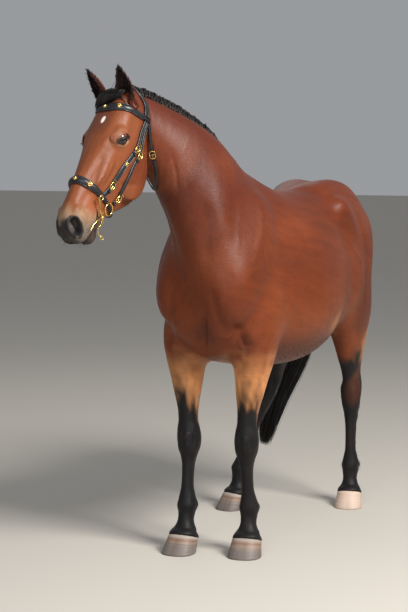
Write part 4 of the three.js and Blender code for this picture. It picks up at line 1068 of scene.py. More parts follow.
# ---------------------------------------------------------------- eyes, lids and ears

EYE_PLACE, EYE_RADIUS = (216, -23, 84), 29.0
EYE_LENGTHWISE = np.array([-0.73, -0.68, 0.0])  # from the front corner to the rear one
LID_HALF = (31.0, 29.0)  # from the middle to the front and the rear corner
LID_UP, LID_DOWN = 13.0, 12.0
LID_REACH = (46.0, 36.0)  # where the lids run out into the face
LID_RINGS, LID_AROUND = 16, 56
SOCKET_DENT = 17.0
LID_EDGE = 1.8


class Socket:
    """One eye's own directions: a from front to rear corner, b upwards, h outwards."""

    def __init__(self, side):
        self.middle = from_head(np.array(EYE_PLACE) * (1, 1, side))
        _, outward = settle(self.middle[None], rounds=4)
        lengthwise = (EYE_LENGTHWISE * (1, 1, side)) @ HEAD
        self.a = unit(lengthwise - outward[0] * (lengthwise @ outward[0]))
        self.h = outward[0]
        self.b = unit(np.cross(self.h, self.a)) * side
        self.rows = np.array([self.a, self.b, self.h])

    def local(self, world):
        return (world - self.middle) @ self.rows.T

    def world(self, local):
        return self.middle + local @ self.rows

    def face_height(self, flat):
        """How far the face stands from the middle of the eyeball over each place of the a-b plane."""
        at = np.column_stack([flat, np.full(len(flat), 14.0)])
        for _ in range(6):
            at[:, 2] -= np.clip(skin_field(self.world(at)), -8, 8) * 0.8
        return at[:, 2]


# Folds round the eye: height, then place and width by the share of the way out from the lids' edge
CREASES = ((-1.8, 0.20, 0.05), (1.6, 0.30, 0.07), (-1.6, 0.44, 0.06), (0.8, 0.55, 0.07))
BAGS = ((1.0, 0.10, 0.08), (-1.0, 0.28, 0.05), (1.2, 0.38, 0.05), (-1.2, 0.50, 0.05))


def folds(rows, share):
    return sum(height * np.exp(-(((share - place) / width) ** 2)) for height, place, width in rows)


def make_lids(socket):
    """A patch from the lids' edge on the eyeball out to the face, with the folds of both lids."""
    turn = np.linspace(0, 2 * math.pi, LID_AROUND, endpoint=False)
    c, s = np.cos(turn), np.sin(turn)
    rear = np.where(c > 0, LID_HALF[1], LID_HALF[0])
    tall = np.where(s > 0, LID_UP, LID_DOWN)
    bow = np.abs(s) ** 1.15
    inner = np.column_stack([c * rear, np.sign(s) * bow * tall - 2.5 * (c < 0) * np.abs(c) ** 3])
    outer = np.column_stack([c * LID_REACH[0], s * LID_REACH[1]])
    rings = []
    for i in range(LID_RINGS + 2):
        share = max(i - 2, 0) / (LID_RINGS - 1)
        flat = inner * (1 - share) + outer * share
        if i < 2:
            flat = inner * (1.04 if i == 1 else 0.97)
        reach = (flat**2).sum(1)
        ball = np.sqrt(np.maximum(EYE_RADIUS**2 - np.minimum(reach, EYE_RADIUS**2 * 0.93), 1))
        face = socket.face_height(flat)
        rise = smoothstep(0.0, 0.75, share)
        height = (ball + LID_EDGE * (-0.6 if i == 0 else 1.0)) * (1 - rise) + (face + 1.0) * rise
        upper = np.clip(s + 0.25, 0, 1) ** 0.6
        lower = np.clip(-s + 0.1, 0, 1)
        crease, bag = folds(CREASES, share), folds(BAGS, share)
        height = height + crease * upper + bag * lower
        height = height - 3.5 * smoothstep(0.8, 1.0, share)
        rings.append(socket.world(np.column_stack([flat, height])))
    return np.concatenate(rings), ring_faces(len(rings), LID_AROUND)


def facing_out(points, polygons, inside):
    """Turns a shell's faces over if they face the given inner place."""
    total = 0.0
    for polygon in polygons[:: max(len(polygons) // 200, 1)]:
        corners = points[list(polygon[:4])]
        normal = np.cross(corners[1] - corners[0], corners[2] - corners[0])
        total += normal @ (corners.mean(0) - inside)
    return polygons if total > 0 else flipped(polygons)


def turned(points, polygons, wall, inside):
    """The same polygons, all turned over if the first ones, as many as wall, face inwards."""
    same = facing_out(points, polygons[:wall], inside)[0] == polygons[0]
    return polygons if same else flipped(polygons)


# share of the length, half width, half depth, half angle of the opening in degrees
EAR_ROWS = [
    (-0.14, 40, 34, 8),
    (-0.04, 33, 28, 10),
    (0.06, 29, 25, 16),
    (0.16, 29, 24, 34),
    (0.28, 31, 22, 50),
    (0.42, 32, 20, 58),
    (0.58, 28, 17, 60),
    (0.74, 21, 13, 58),
    (0.88, 12, 8.5, 50),
    (0.96, 6, 5, 40),
    (1.0, 2, 2, 20),
]
EARS = {
    "ear_left": {
        "root": (42, -20, 66),
        "towards": (0.29, -0.12, 0.95),
        "opens": (0.9, 0.35, -0.2),
        "length": 164,
    },
    "ear_right": {
        "root": (28, -4, -66),
        "towards": (0.41, -0.19, 0.89),
        "opens": (0.9, -0.4, -0.2),
        "length": 149,
    },
}
EAR_CURL = 14
EAR_SHELL = 3.4
EAR_STEPS, EAR_AROUND = 30, 18


def ear_frame(ear):
    """Where an ear stands, and its directions: up it, and out of its opening."""
    up = unit(np.array(ear["towards"]))
    front = np.array(ear["opens"])
    return from_head(ear["root"]), up, unit(front - up * (front @ up))


def make_ear(ear):
    """A funnel of thin gristle, closed below and open to the front, with its tip curling forward."""
    foot, up, front = ear_frame(ear)
    side = np.cross(up, front)
    rows = profile(EAR_ROWS)(np.linspace(EAR_ROWS[0][0], 1, EAR_STEPS))
    points = []
    for share, half, depth, opening in rows:
        middle = foot + up * ear["length"] * share + front * EAR_CURL * max(share, 0) ** 2
        turns = np.radians(np.linspace(opening, 360 - opening, EAR_AROUND))
        shell = min(EAR_SHELL, half * 0.45)
        lip = 1 + sum(0.10 * np.exp(-((turns - turns[end]) / 0.3) ** 2) for end in (0, -1))
        outer, inner = (
            middle
            + np.outer(np.sin(turns) * (half - thinner) * lip, side)
            + np.outer(np.cos(turns) * (depth - thinner), front)
            for thinner in (0, shell)
        )
        points.append(np.concatenate([outer, inner[::-1]]))
    around = EAR_AROUND * 2
    polygons = ring_faces(len(rows), around)
    last = (len(rows) - 1) * around
    for start in (0, last):
        ends = [start + j for j in range(around)]
        for j in range(EAR_AROUND - 1):
            quad = (ends[j], ends[j + 1], ends[around - 2 - j], ends[around - 1 - j])
            polygons.append(quad[::-1] if start == 0 else quad)
    points = np.concatenate(points)
    return points, turned(points, polygons, EAR_AROUND - 1, foot)


# From the leg's axis: toe, heel and half width on the ground, the same at the coronet, its heights at both
HOOF_SIZES = ("toe", "heel", "half", "top_toe", "top_heel", "top_half", "front", "back")
HOOVES = {
    "fore": dict(zip(HOOF_SIZES, (162, 12, 76, 92, -34, 62, 88, 46))),
    "hind": dict(zip(HOOF_SIZES, (142, 0, 69, 80, -44, 58, 88, 48))),
}
HOOF_ROUND = 2.3


def superellipse(turn, half, length, power):
    c, s = np.cos(turn), np.sin(turn)
    radius = (np.abs(c / half) ** power + np.abs(s / length) ** power) ** (-1 / power)
    return c * radius, s * radius


def hoof_frame(name):
    """A hoof's sizes, its middle on the ground, its forward and left directions and the coronet's slope."""
    leg = LEGS[name]
    h = HOOVES[leg["kind"]]
    turned_out = math.radians(leg["toe_out"] * leg["side"])
    _, x, y = axis_at[name](np.array([FETLOCK]))[0]
    forward = np.array([math.cos(turned_out), math.sin(turned_out), 0])
    left = np.array([-forward[1], forward[0], 0])
    return h, (x, y), forward, left, (h["front"] - h["back"]) / (h["top_toe"] - h["top_heel"])


CORONET_FLARE, CORONET_TUCK = 1.05, 0.90
CORONET_REACH, CORONET_RISE = 150, 34


def fit_coronet(points, name):
    """Widens the pastern to the coronet just above the hoof, and draws it in below, inside the horn."""
    h, middle, forward, left, slope = hoof_frame(name)
    flat = points[:, :2] - middle
    ahead, p = flat @ forward[:2], flat @ left[:2]
    centre, half_long = (h["top_toe"] + h["top_heel"]) / 2, (h["top_toe"] - h["top_heel"]) / 2
    above = points[:, 2] - (h["back"] + slope * (ahead - h["top_heel"]))
    ratio = np.abs(p / h["top_half"]) ** HOOF_ROUND + np.abs((ahead - centre) / half_long) ** HOOF_ROUND
    ratio = ratio ** (1 / HOOF_ROUND)
    mine = (np.hypot(*flat.T) < CORONET_REACH) & (above < CORONET_RISE) & (ratio > 0.3)
    flared = ratio + (CORONET_FLARE - ratio) * smoothstep(CORONET_RISE, 2, above)
    wanted = np.where(above > -3, flared, np.minimum(ratio, CORONET_TUCK))
    scale = np.where(mine, wanted / np.maximum(ratio, 0.3), 1.0)
    fitted = middle + np.outer(centre + (ahead - centre) * scale, forward[:2]) + np.outer(p * scale, left[:2])
    points[:, :2] = np.where(mine[:, None], fitted, points[:, :2])


sockets = {"eye_left": Socket(1), "eye_right": Socket(-1)}
for socket in sockets.values():
    local = socket.local(points)
    within = (local[:, 0] / (LID_REACH[0] - 5)) ** 2 + (local[:, 1] / (LID_REACH[1] - 5)) ** 2
    facing = local[:, 2] > 0
    points -= np.outer(SOCKET_DENT * smoothstep(1.0, 0.35, within) * facing, socket.h)

for name in LEGS:
    fit_coronet(points, name)

shells = [(points, [tuple(int(i) for i in p) for p in polygons])]
for socket in sockets.values():
    lid_points, lid_polygons = make_lids(socket)
    shells.append((lid_points, facing_out(lid_points, lid_polygons, socket.middle - socket.h * 60)))
for ear in EARS.values():
    shells.append(make_ear(ear))
KINDS = np.concatenate([np.full(len(p), kind) for (p, _), kind in zip(shells, (0, 1, 1, 2, 2))])
ear_points = np.flatnonzero(KINDS == 2)
KINDS[ear_points[(ear_points - ear_points[0]) % (EAR_AROUND * 2) >= EAR_AROUND]] = 3
skin_points = np.concatenate([shell_points for shell_points, _ in shells])
starts = np.cumsum([0] + [len(shell_points) for shell_points, _ in shells])
all_polygons = []
for start, (_, shell_polygons) in zip(starts.tolist(), shells):
    all_polygons += [tuple(i + start for i in p) for p in shell_polygons]
skin = new_mesh("skin", skin_points, all_polygons)
dress(skin, *coat_colours(skin_points, KINDS))
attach(skin, "root")
FLESH = ["head", "neck", "shoulders", "barrel", "hindquarters", "ear_left", "ear_right"]
LEG_PARTS = {
    "fore": ("pastern", "cannon", "knee", "forearm"),
    "hind": ("pastern", "cannon", "hock", "gaskin"),
}
FLESH += [f"{name}_{part}" for name, leg in LEGS.items() for part in LEG_PARTS[leg["kind"]]]
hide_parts(*FLESH)

# ---------------------------------------------------------------- eyeballs

CORNEA_BULGE = 2.6
PUPIL = (9.0, 4.2)
IRIS = 17.5
IRIS_BROWN = np.array((0.034, 0.014, 0.006))
EYE_RINGS, EYE_AROUND = 28, 48


def eye_material():
    settings = {"Roughness": 0.06, "Coat Weight": 0.5, "Coat Roughness": 0.02}
    material, nodes, links, shader = new_material("eye", settings)
    links.new(attribute(nodes, "iris").outputs["Color"], shader.inputs["Base Color"])
    return material


EYE_MATERIAL = eye_material()


def make_eye(name, socket):
    """An eyeball whose front is a little more curved, dark brown with a level pupil."""
    rings, around = EYE_RINGS, EYE_AROUND
    points, colours = [], []
    for i in range(rings + 1):
        angle = math.pi * i / rings
        for j in range(around):
            turn = 2 * math.pi * j / around
            flat = EYE_RADIUS * math.sin(angle)
            a, b, h = flat * math.cos(turn), flat * math.sin(turn), EYE_RADIUS * math.cos(angle)
            bulge = CORNEA_BULGE * float(smoothstep(IRIS, IRIS - 8, np.array(flat))) if h > 0 else 0
            points.append((a, b, h + bulge))
            pupil = (a / PUPIL[0]) ** 2 + (b / PUPIL[1]) ** 2
            dark = 1 - 0.92 * (pupil < 1)
            edge = 0.35 + 0.65 * float(smoothstep(IRIS + 1.5, IRIS - 3, np.array(flat)))
            colours.append((*IRIS_BROWN * dark * edge, 1))
    world = socket.world(np.array(points))
    polygons = facing_out(world, ring_faces(rings + 1, around)[around:-around], socket.middle)
    eye = new_mesh(name.replace("eye", "eyeball"), world, polygons)
    layer = eye.data.color_attributes.new("iris", "FLOAT_COLOR", "POINT")
    layer.data.foreach_set("color", np.array(colours, np.float32).ravel())
    eye.data.materials.append(EYE_MATERIAL)
    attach(eye, "root")
    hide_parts(name)


for name, socket in sockets.items():
    make_eye(name, socket)

# ---------------------------------------------------------------- hair

CHARTS = 7  # the unwrap's sheet holds this many charts each way
PATCH = 0.003  # how much of the sheet one lock takes
REGION_SIZES = {"trunk": 2600.0, "head": 900.0, "leg": 1300.0}
TRUNK_MIDDLE = np.array([100.0, 0, 900])


def unwrap(points, normals):
    """Where a place on the skin lies on its unwrap: one chart for each part of the body and way it faces."""
    local = to_head(points)
    head = head_zone(points) > 0.5
    axes = (leg_frame(name, points[:, 2])[:2] for name in LEGS)
    leg = np.argmin([np.hypot(points[:, 0] - x, points[:, 1] - y) for x, y in axes], axis=0)
    low = (points[:, 2] < 820) & ~head
    region = np.where(head, 1, np.where(low, 2 + leg, 0))
    facing = np.argmax(np.abs(normals), axis=1)
    sign = np.take_along_axis(normals, facing[:, None], 1)[:, 0] > 0
    chart = region * 6 + facing * 2 + sign
    place = np.where(head[:, None], local, points - TRUNK_MIDDLE)
    size = np.where(head, REGION_SIZES["head"], np.where(low, REGION_SIZES["leg"], REGION_SIZES["trunk"]))
    order = np.array([[1, 2], [0, 2], [0, 1]])[facing]
    flat = np.take_along_axis(place, order, 1) / size[:, None] + 0.5
    flat = np.clip(flat, 0.03, 0.97)
    return (np.column_stack([chart % CHARTS, chart // CHARTS]) + flat) / CHARTS


def locks(name, paths, widths, outward, thick, colours, roots, root_normals, material=None):
    """Solid tapering three-sided locks along paths (lock, place, xyz), as one joined piece with its bake map.

    Long hair has a material of its own. Without one, the locks are short coat."""
    count, steps = paths.shape[:2]
    along = unit(np.gradient(paths, axis=1))
    outward = outward[:, None, :] if outward.ndim == 2 else outward
    across = unit(np.cross(along, outward))
    lifted = np.cross(across, along)
    section = ((-1.0, 0.0), (1.0, 0.0), (0.0, 1.0))
    corners = [paths + (across * a + lifted * b * thick) * widths[..., None] for a, b in section]
    body = np.stack(corners, 2)[:, :-1].reshape(count, (steps - 1) * 3, 3)
    points = np.concatenate([body, paths[:, -1:]], 1)
    each = points.shape[1]
    top = (steps - 2) * 3
    ends = [(top + j, top + (j + 1) % 3, each - 1) for j in range(3)]
    quads = np.array(ring_faces(steps - 1, 3))
    triangles = np.array([(0, 2, 1)] + ends)
    base = (np.arange(count) * each)[:, None, None]
    quads = (quads[None] + base).reshape(-1, 4)
    triangles = (triangles[None] + base).reshape(-1, 3)

    flat = ((points.reshape(-1, 3) + SHIFT) * MM).astype(np.float32)
    mesh = bpy.data.meshes.new(name)
    mesh.vertices.add(len(flat))
    mesh.vertices.foreach_set("co", flat.ravel())
    loops = np.concatenate([quads.ravel(), triangles.ravel()]).astype(np.int32)
    mesh.loops.add(len(loops))
    mesh.loops.foreach_set("vertex_index", loops)
    starts = np.concatenate([np.arange(len(quads)) * 4, len(quads) * 4 + np.arange(len(triangles)) * 3])
    mesh.polygons.add(len(starts))
    mesh.polygons.foreach_set("loop_start", starts.astype(np.int32))
    mesh.update(calc_edges=True)
    mesh.validate()
    mesh.shade_smooth()
    piece = linked(name, mesh)

    spot = unwrap(roots, root_normals)
    local = np.concatenate([np.tile([[0.0, 0.0], [1.0, 0.0], [0.5, 0.6]], (steps - 1, 1)), [[0.5, 1.0]]])
    local[:-1, 1] += np.repeat(np.arange(steps - 1), 3) / steps * 0.4
    sheet = spot[:, None, :] + (local[None] - 0.5) * PATCH
    sheet = sheet.reshape(-1, 2)[loops]
    layer = mesh.uv_layers.new(name="OFBake")
    layer.uv.foreach_set("vector", sheet.astype(np.float32).ravel())
    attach(piece, "root")
    dress(piece, *(np.repeat(v, each, axis=0) for v in colours), material or COAT_MATERIAL)
    return piece


def long_hair_material():
    """Coarse black hair with a soft sheen, some of its locks browner."""
    settings = {"Roughness": 0.42, "Specular IOR Level": 0.32}
    material, nodes, links, shader = new_material("long black hair", settings)
    links.new(attribute(nodes, "coat").outputs["Color"], shader.inputs["Base Color"])
    return material


LONG_HAIR = long_hair_material()
HAIR_BLACK, HAIR_BROWN = shade(17, 15, 15), shade(40, 30, 26)


def hang(roots, start, lengths, steps, turn_length, sideways, lift, lean):
    """Paths that leave the skin one way, turn over within a distance, and hang clear of the skin."""
    down = np.array([0, 0, -1.0])
    paths = np.zeros((len(roots), steps, 3))
    paths[:, 0] = roots
    way = unit(np.array(start, float))
    for i in range(1, steps):
        share = i / (steps - 1)
        run = lengths * share
        bend = smoothstep(0, 1, run / turn_length)[:, None]
        fall = unit(down + sideways * np.clip(1.15 - bend, 0, 1) + lean * 0.4)
        heading = unit(way * (1 - bend) + fall * bend + sideways * 4 * bend * (1 - bend) * 0.5)
        step = (lengths / (steps - 1))[:, None]
        paths[:, i] = paths[:, i - 1] + heading * step
        value = skin_field(paths[:, i])
        close = value < lift
        if close.any():
            slope = slopes_of(skin_field, paths[close, i], value[close])
            paths[close, i] += unit(slope) * (lift[close] - value[close])[:, None]
    return paths


def taper(count, steps, width, root=0.75, belly=0.35):
    """Widths along each lock: a little narrower at the root, fullest early, fine at the tip."""
    u = np.linspace(0, 1, steps)
    shape = np.minimum(root + (1 - root) * u / belly, 1) * np.clip((1 - u) / (1 - belly), 0, 1) ** 0.6
    return width[:, None] * np.maximum(shape, 0.02)[None, :]


def black_locks(count):
    """Colours for long hair: mostly black, some locks browner."""
    tone = RNG.random(count)[:, None] ** 3
    colour = HAIR_BLACK * (1 - tone) + HAIR_BROWN * tone
    return colour, np.zeros(count), np.zeros((count, 3))


# Along the crest, by section of the neck: height of the mane above the crest, length down the right side
MANE_ROWS = [
    (14.3, 4, 40),
    (15.5, 12, 85),
    (17, 28, 130),
    (18.5, 36, 155),
    (20, 40, 170),
    (21.5, 40, 170),
    (22.7, 38, 155),
    (23.6, 32, 120),
]
MANE_COUNT, MANE_STEPS = 3600, 9
CREST_HALF = 20  # half the width of the strip that the mane grows from


def make_mane():
    """Locks that rise from the crest, turn over and lie down the neck's right side."""
    t = MANE_ROWS[0][0] + (MANE_ROWS[-1][0] - MANE_ROWS[0][0]) * RNG.random(MANE_COUNT) ** 0.9
    _, rise, fall = profile(MANE_ROWS)(t).T
    s = body_sections(t)
    across = RNG.normal(0, 0.42, MANE_COUNT)
    top = s["middle"] + s["up"] * s["above"][:, None] + s["side"] * (across * CREST_HALF)[:, None]
    roots, normals = settle(top, rounds=3)
    roots = roots - normals * 3
    clump = cloud(np.column_stack([t * 55, across * 6, np.zeros(MANE_COUNT)]), 7, 0.7) - 0.5
    tilt = -0.06 - 0.22 * across - clump * 0.28 + RNG.normal(0, 0.08, MANE_COUNT)
    forwards = RNG.normal(0, 0.16, MANE_COUNT) - 0.10
    start = s["up"] + s["side"] * tilt[:, None] + s["normal"] * forwards[:, None]
    lengths = rise * 1.6 + fall * (0.72 + 0.4 * RNG.random(MANE_COUNT) + 0.25 * clump)
    lift = 3 + 13 * RNG.random(MANE_COUNT) * np.clip(fall / 150, 0.3, 1)
    turn = np.maximum(rise * 3.0, 18) * (0.8 + 0.4 * RNG.random(MANE_COUNT))
    lean = s["normal"] * (clump * 0.5 - 0.12)[:, None]
    paths = hang(roots, start, lengths, MANE_STEPS, turn, -s["side"], lift, lean)
    widths = taper(MANE_COUNT, MANE_STEPS, RNG.uniform(2.2, 4.2, MANE_COUNT))
    out = unit(paths - s["middle"][:, None, :])
    piece = locks("mane_hair", paths, widths, out, 0.5, black_locks(MANE_COUNT), roots, normals, LONG_HAIR)
    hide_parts("mane")


FORELOCK = [(-34, 8, 10), (-4, 32, 12), (24, 46, 6), (48, 46, -10), (70, 40, -32), (92, 28, -54)]
FORELOCK_HALF = [40, 48, 52, 46, 34, 20]
FORELOCK_COUNT, FORELOCK_STEPS = 1300, 10


def along_spine(spine, share):
    """A place along a smooth line through the given points, evenly by number."""
    rows = [[i / (len(spine) - 1), *p] for i, p in enumerate(spine)]
    return profile(rows)(share)[..., 1:]


def make_forelock():
    """Locks that lie down over the forehead, from between the ears."""
    count, steps = FORELOCK_COUNT, FORELOCK_STEPS
    across = RNG.uniform(-1, 1, count)
    height = RNG.random(count)
    ends = 0.72 + 0.30 * RNG.random(count) - 0.24 * np.maximum(across, 0)
    paths = np.zeros((count, steps, 3))
    for i in range(steps):
        share = i / (steps - 1) * ends
        middle = along_spine(FORELOCK, share)
        half = along_spine([(h, 0, 0) for h in FORELOCK_HALF], share)[:, 0]
        clump = cloud(np.column_stack([across * 40, share * 12, height * 10]), 6, 1.2) - 0.5
        sideways = (across + clump * 0.7) * half * 0.95
        local = middle + np.column_stack([0 * share, -0.2 * across * half, sideways])
        point, out = settle(from_head(local), rounds=2)
        lift = 3 + (6 + 15 * height) * np.clip(share * 4, 0, 1) * (1 - 0.5 * share)
        paths[:, i] = point + out * np.where(i == 0, -2, lift)[:, None]
    widths = taper(count, steps, RNG.uniform(1.4, 2.8, count))
    out = np.tile(HEAD[1], (count, 1))
    roots, normals = settle(paths[:, 0], rounds=1)
    piece = locks("forelock_hair", paths, widths, out, 0.5, black_locks(count), roots, normals, LONG_HAIR)
    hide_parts("forelock")


# Down the tail: x, y, z of its middle, half thickness along the body and half width across it
TAIL_ROWS = [
    (-868, -48, 1516, 34, 38),
    (-914, -54, 1500, 38, 42),
    (-942, -66, 1438, 42, 52),
    (-954, -100, 1330, 46, 62),
    (-957, -153, 1200, 50, 74),
    (-945, -220, 1030, 56, 88),
    (-922, -289, 860, 62, 98),
    (-900, -348, 700, 62, 104),
    (-885, -402, 540, 52, 80),
    (-872, -438, 400, 40, 56),
    (-864, -460, 300, 28, 37),
    (-860, -472, 232, 14, 16),
]
TAIL_COUNT, TAIL_STEPS, TAIL_HANKS = 2400, 14, 15
DOCK_END = 0.30


def make_tail():
    """The dock is clothed in short locks; the long ones start all along it and hang in loose hanks."""
    count, steps = TAIL_COUNT, TAIL_STEPS
    rows = profile([[i / (len(TAIL_ROWS) - 1), *row] for i, row in enumerate(TAIL_ROWS)])
    start = DOCK_END * RNG.random(count) ** 0.8
    turn = RNG.uniform(0, 2 * math.pi, count)
    depth = np.sqrt(RNG.random(count))
    short = RNG.random(count) < 0.16
    reach = np.where(short, 0.35 + 0.35 * RNG.random(count), 0.80 + 0.22 * RNG.random(count))
    hank = np.floor(turn / (2 * math.pi) * TAIL_HANKS)
    hank_reach = 0.93 + 0.09 * np.sin(hank * 2.4)
    end = np.minimum(start + reach * hank_reach, 1.0 - 0.16 * RNG.random(count) ** 1.6)
    end = np.maximum(end, start + 0.16)
    paths = np.zeros((count, steps, 3))
    outward = np.zeros((count, steps, 3))
    for i in range(steps):
        u = i / (steps - 1)
        share = start + (end - start) * u
        row = rows(np.clip(share, 0, 1))
        ahead = rows(np.clip(share + 0.01, 0, 1)) - rows(np.clip(share - 0.01, 0, 1))
        along = unit(ahead[:, 1:4])
        across = unit(np.array([0, 1.0, 0]) - along * along[:, 1:2])
        back = np.cross(along, across)
        swing = 0.16 * np.sin(hank * 1.7 + share * 9) * smoothstep(0.2, 0.6, share)
        spread = (0.30 + 0.66 * depth) * (0.55 + 0.45 * smoothstep(0, 0.25, np.full(count, u)))
        spread = spread * (1 + 0.10 * np.sin(hank * 3.1 + share * 7))
        a = np.cos(turn + swing) * row[:, 5] * spread
        b = np.sin(turn + swing) * row[:, 4] * spread
        away = across * a[:, None] + back * b[:, None]
        paths[:, i] = row[:, 1:4] + away
        outward[:, i] = unit(away + 1e-6)
    wisp = RNG.normal(0, 1, (count, 3)) * np.array([7, 9, 0])
    paths += wisp[:, None, :] * (np.linspace(0, 1, steps) ** 2)[None, :, None]
    value = skin_field(paths.reshape(-1, 3)).reshape(count, steps)
    inside = value < 2
    inside[:, 0] = False
    if inside.any():
        slope = slopes_of(skin_field, paths[inside], value[inside])
        paths[inside] += unit(slope) * (3 - value[inside])[:, None]
    widths = taper(count, steps, RNG.uniform(2.2, 4.4, count), 0.7, 0.4)
    roots, normals = settle(paths[:, 0], rounds=3)
    piece = locks("tail_hair", paths, widths, outward, 0.5, black_locks(count), roots, normals, LONG_HAIR)
    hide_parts("tail")


make_mane()
make_forelock()
make_tail()

# ---------------------------------------------------------------- short coat where it breaks the form

TUFT_STEPS = 4
MUZZLE_BARE = 668  # below this place down the face no tufts grow
# Tufts: how many per square metre, their length in millimetres, and their lift off the skin in degrees
COAT = {
    "body": (1300, 15, 3.5),
    "belly": (2600, 18, 10),
    "haunch": (1400, 15, 4),
    "head": (5200, 7, 6),
    "jaw": (9000, 13, 20),
    "chin": (12000, 8, 26),
    "ear": (46000, 15, 28),
    "leg": (6500, 10, 9),
    "tendon": (12000, 17, 17),
    "fetlock": (30000, 26, 17),
    "coronet": (42000, 15, 8),
}


def coat_zones(points, normals, kinds):
    """Which kind of coat grows at each place."""
    t, n, s = to_head(points).T
    forward = leg_of(points)[0]
    z = points[:, 2]
    zone = np.full(len(points), "body", dtype="<U8")
    zone[(normals[:, 2] < -0.55) & (z > 780) & (points[:, 0] < 560)] = "belly"
    zone[(points[:, 0] < -560) & (z > 780)] = "haunch"
    head = head_zone(points) > 0.5
    zone[head] = "head"
    zone[head & (t < 420) & (n < -150 - t * 0.1) & (np.abs(s) < 62)] = "jaw"
    zone[head & (t > 560) & (n < -104)] = "chin"
    low = (z < 700) & ~head
    zone[low] = "leg"
    zone[low & (forward < -22) & (z > 240) & (z < 520)] = "tendon"
    zone[low & (forward < -24) & (z > 140) & (z < 240)] = "fetlock"
    coronet = 66 + np.clip(forward, -50, 60) * 0.35
    zone[low & (np.abs(z - coronet - 8) < 14)] = "coronet"
    zone[kinds >= 2] = "ear"
    return zone


def lie_of_hair(points, normals):
    """The way the hair lies at each place, along the skin."""
    trunk, neck, low, head = (share[:, None] for share in regions(points))
    way = trunk * (-0.93, 0, -0.37) + neck * (-0.62, 0, -0.78) + low * (-0.08, 0, -1.0) + head * HEAD[0]
    way = way + (cloud(points, 90, 8.0) - 0.5)[:, None] * np.array([0.2, 0.3, 0.5])
    way = way - normals * (way * normals).sum(1)[:, None]
    return unit(way)


def make_coat():
    """Tufts over the skin, by the area of its faces, in three pieces."""
    mesh = skin.data
    count = len(mesh.polygons)
    centre, normal, area = np.zeros(count * 3), np.zeros(count * 3), np.zeros(count)
    mesh.polygons.foreach_get("center", centre)
    mesh.polygons.foreach_get("normal", normal)
    mesh.polygons.foreach_get("area", area)
    first = np.zeros(count, np.int32)
    mesh.polygons.foreach_get("loop_start", first)
    owner = np.zeros(len(mesh.loops), np.int32)
    mesh.loops.foreach_get("vertex_index", owner)
    kinds = KINDS[owner[first]]
    centre = centre.reshape(-1, 3) / MM - SHIFT
    normal = normal.reshape(-1, 3)
    zones = coat_zones(centre, normal, kinds)
    density = np.array([COAT[zone][0] for zone in zones])
    bare = (kinds == 1) | (to_head(centre)[:, 0] > MUZZLE_BARE)
    expected = area * density * np.where(bare, 0, 1)
    number = np.floor(expected + RNG.random(count)).astype(int)
    face = np.repeat(np.arange(count), number)
    roots, normals = centre[face], normal[face]
    size = np.sqrt(area[face]) / MM * 0.5
    jitter = RNG.uniform(-1, 1, (len(face), 3)) * size[:, None]
    roots = roots + jitter - normals * (jitter * normals).sum(1)[:, None]
    zone, kind = zones[face], kinds[face]
    flow = lie_of_hair(roots, normals)
    for ear in EARS.values():
        up = unit(np.array(ear["towards"]))
        mine = (kind >= 2) & (np.linalg.norm(roots - from_head(ear["root"]), axis=1) < ear["length"] + 40)
        flow[mine] = unit(up - normals[mine] * (normals[mine] @ up)[:, None])
    length = np.array([COAT[name][1] for name in zone]) * RNG.uniform(0.6, 1.35, len(zone))
    lift = np.radians([COAT[name][2] for name in zone]) * RNG.uniform(0.4, 1.5, len(zone))
    flow = unit(flow + np.cross(normals, flow) * RNG.normal(0, 0.16, len(zone))[:, None])
    paths = np.zeros((len(zone), TUFT_STEPS, 3))
    for i in range(TUFT_STEPS):
        u = i / (TUFT_STEPS - 1)
        rise = np.sin(lift) * (u - 0.35 * u * u)
        flat = flow * (length * u * np.cos(lift))[:, None]
        paths[:, i] = roots + flat + normals * (length * rise - 0.6)[:, None]
    thickness = np.clip(length * 0.075, 0.6, 1.5) * RNG.uniform(0.8, 1.3, len(zone))
    widths = taper(len(zone), TUFT_STEPS, thickness)
    colour, gloss, grain = coat_colours(roots, kind)
    colour = np.clip(colour * RNG.uniform(0.9, 1.1, len(zone))[:, None], 0, 1)
    groups = {
        "body_coat": ("body", "belly", "haunch"),
        "head_coat": ("head", "jaw", "chin", "ear"),
        "leg_coat": ("leg", "tendon", "fetlock", "coronet"),
    }
    for name, members in groups.items():
        pick = np.isin(zone, members)
        told = (colour[pick], gloss[pick], grain[pick])
        locks(name, paths[pick], widths[pick], normals[pick], 0.35, told, roots[pick], normals[pick])


make_coat()

# ---------------------------------------------------------------- whiskers and lashes


def bristles(name, roots, ways, lengths, width):
    """Single stiff hairs, each drooping a little."""
    roots, ways, steps = np.array(roots), unit(np.array(ways)), 6
    paths = np.zeros((len(roots), steps, 3))
    for i in range(steps):
        u = i / (steps - 1)
        droop = np.array([0, 0, 1.0]) * (lengths * 0.16 * u * u)[:, None]
        paths[:, i] = roots + ways * (lengths * u)[:, None] - droop
    widths = taper(len(roots), steps, np.full(len(roots), width))
    side = unit(np.cross(ways, np.array([0.3, 0.2, 1.0])))
    colours = (np.tile(BLACK, (len(roots), 1)), np.zeros(len(roots)), np.zeros((len(roots), 3)))
    locks(name, paths, widths, side, 0.7, colours, roots, ways, LONG_HAIR)


WHISKERS, LASHES = 110, 64


def make_whiskers():
    count = WHISKERS
    t = RNG.uniform(590, 690, count)
    n = RNG.uniform(-130, -30, count)
    s = RNG.choice([-1, 1], count) * RNG.uniform(8, 60, count)
    roots, out = settle(from_head(np.column_stack([t, n, s])), rounds=4)
    ways = out + HEAD[0] * 0.5 + RNG.normal(0, 0.2, (count, 3))
    bristles("whiskers", roots - out, ways, RNG.uniform(14, 34, count), 0.35)


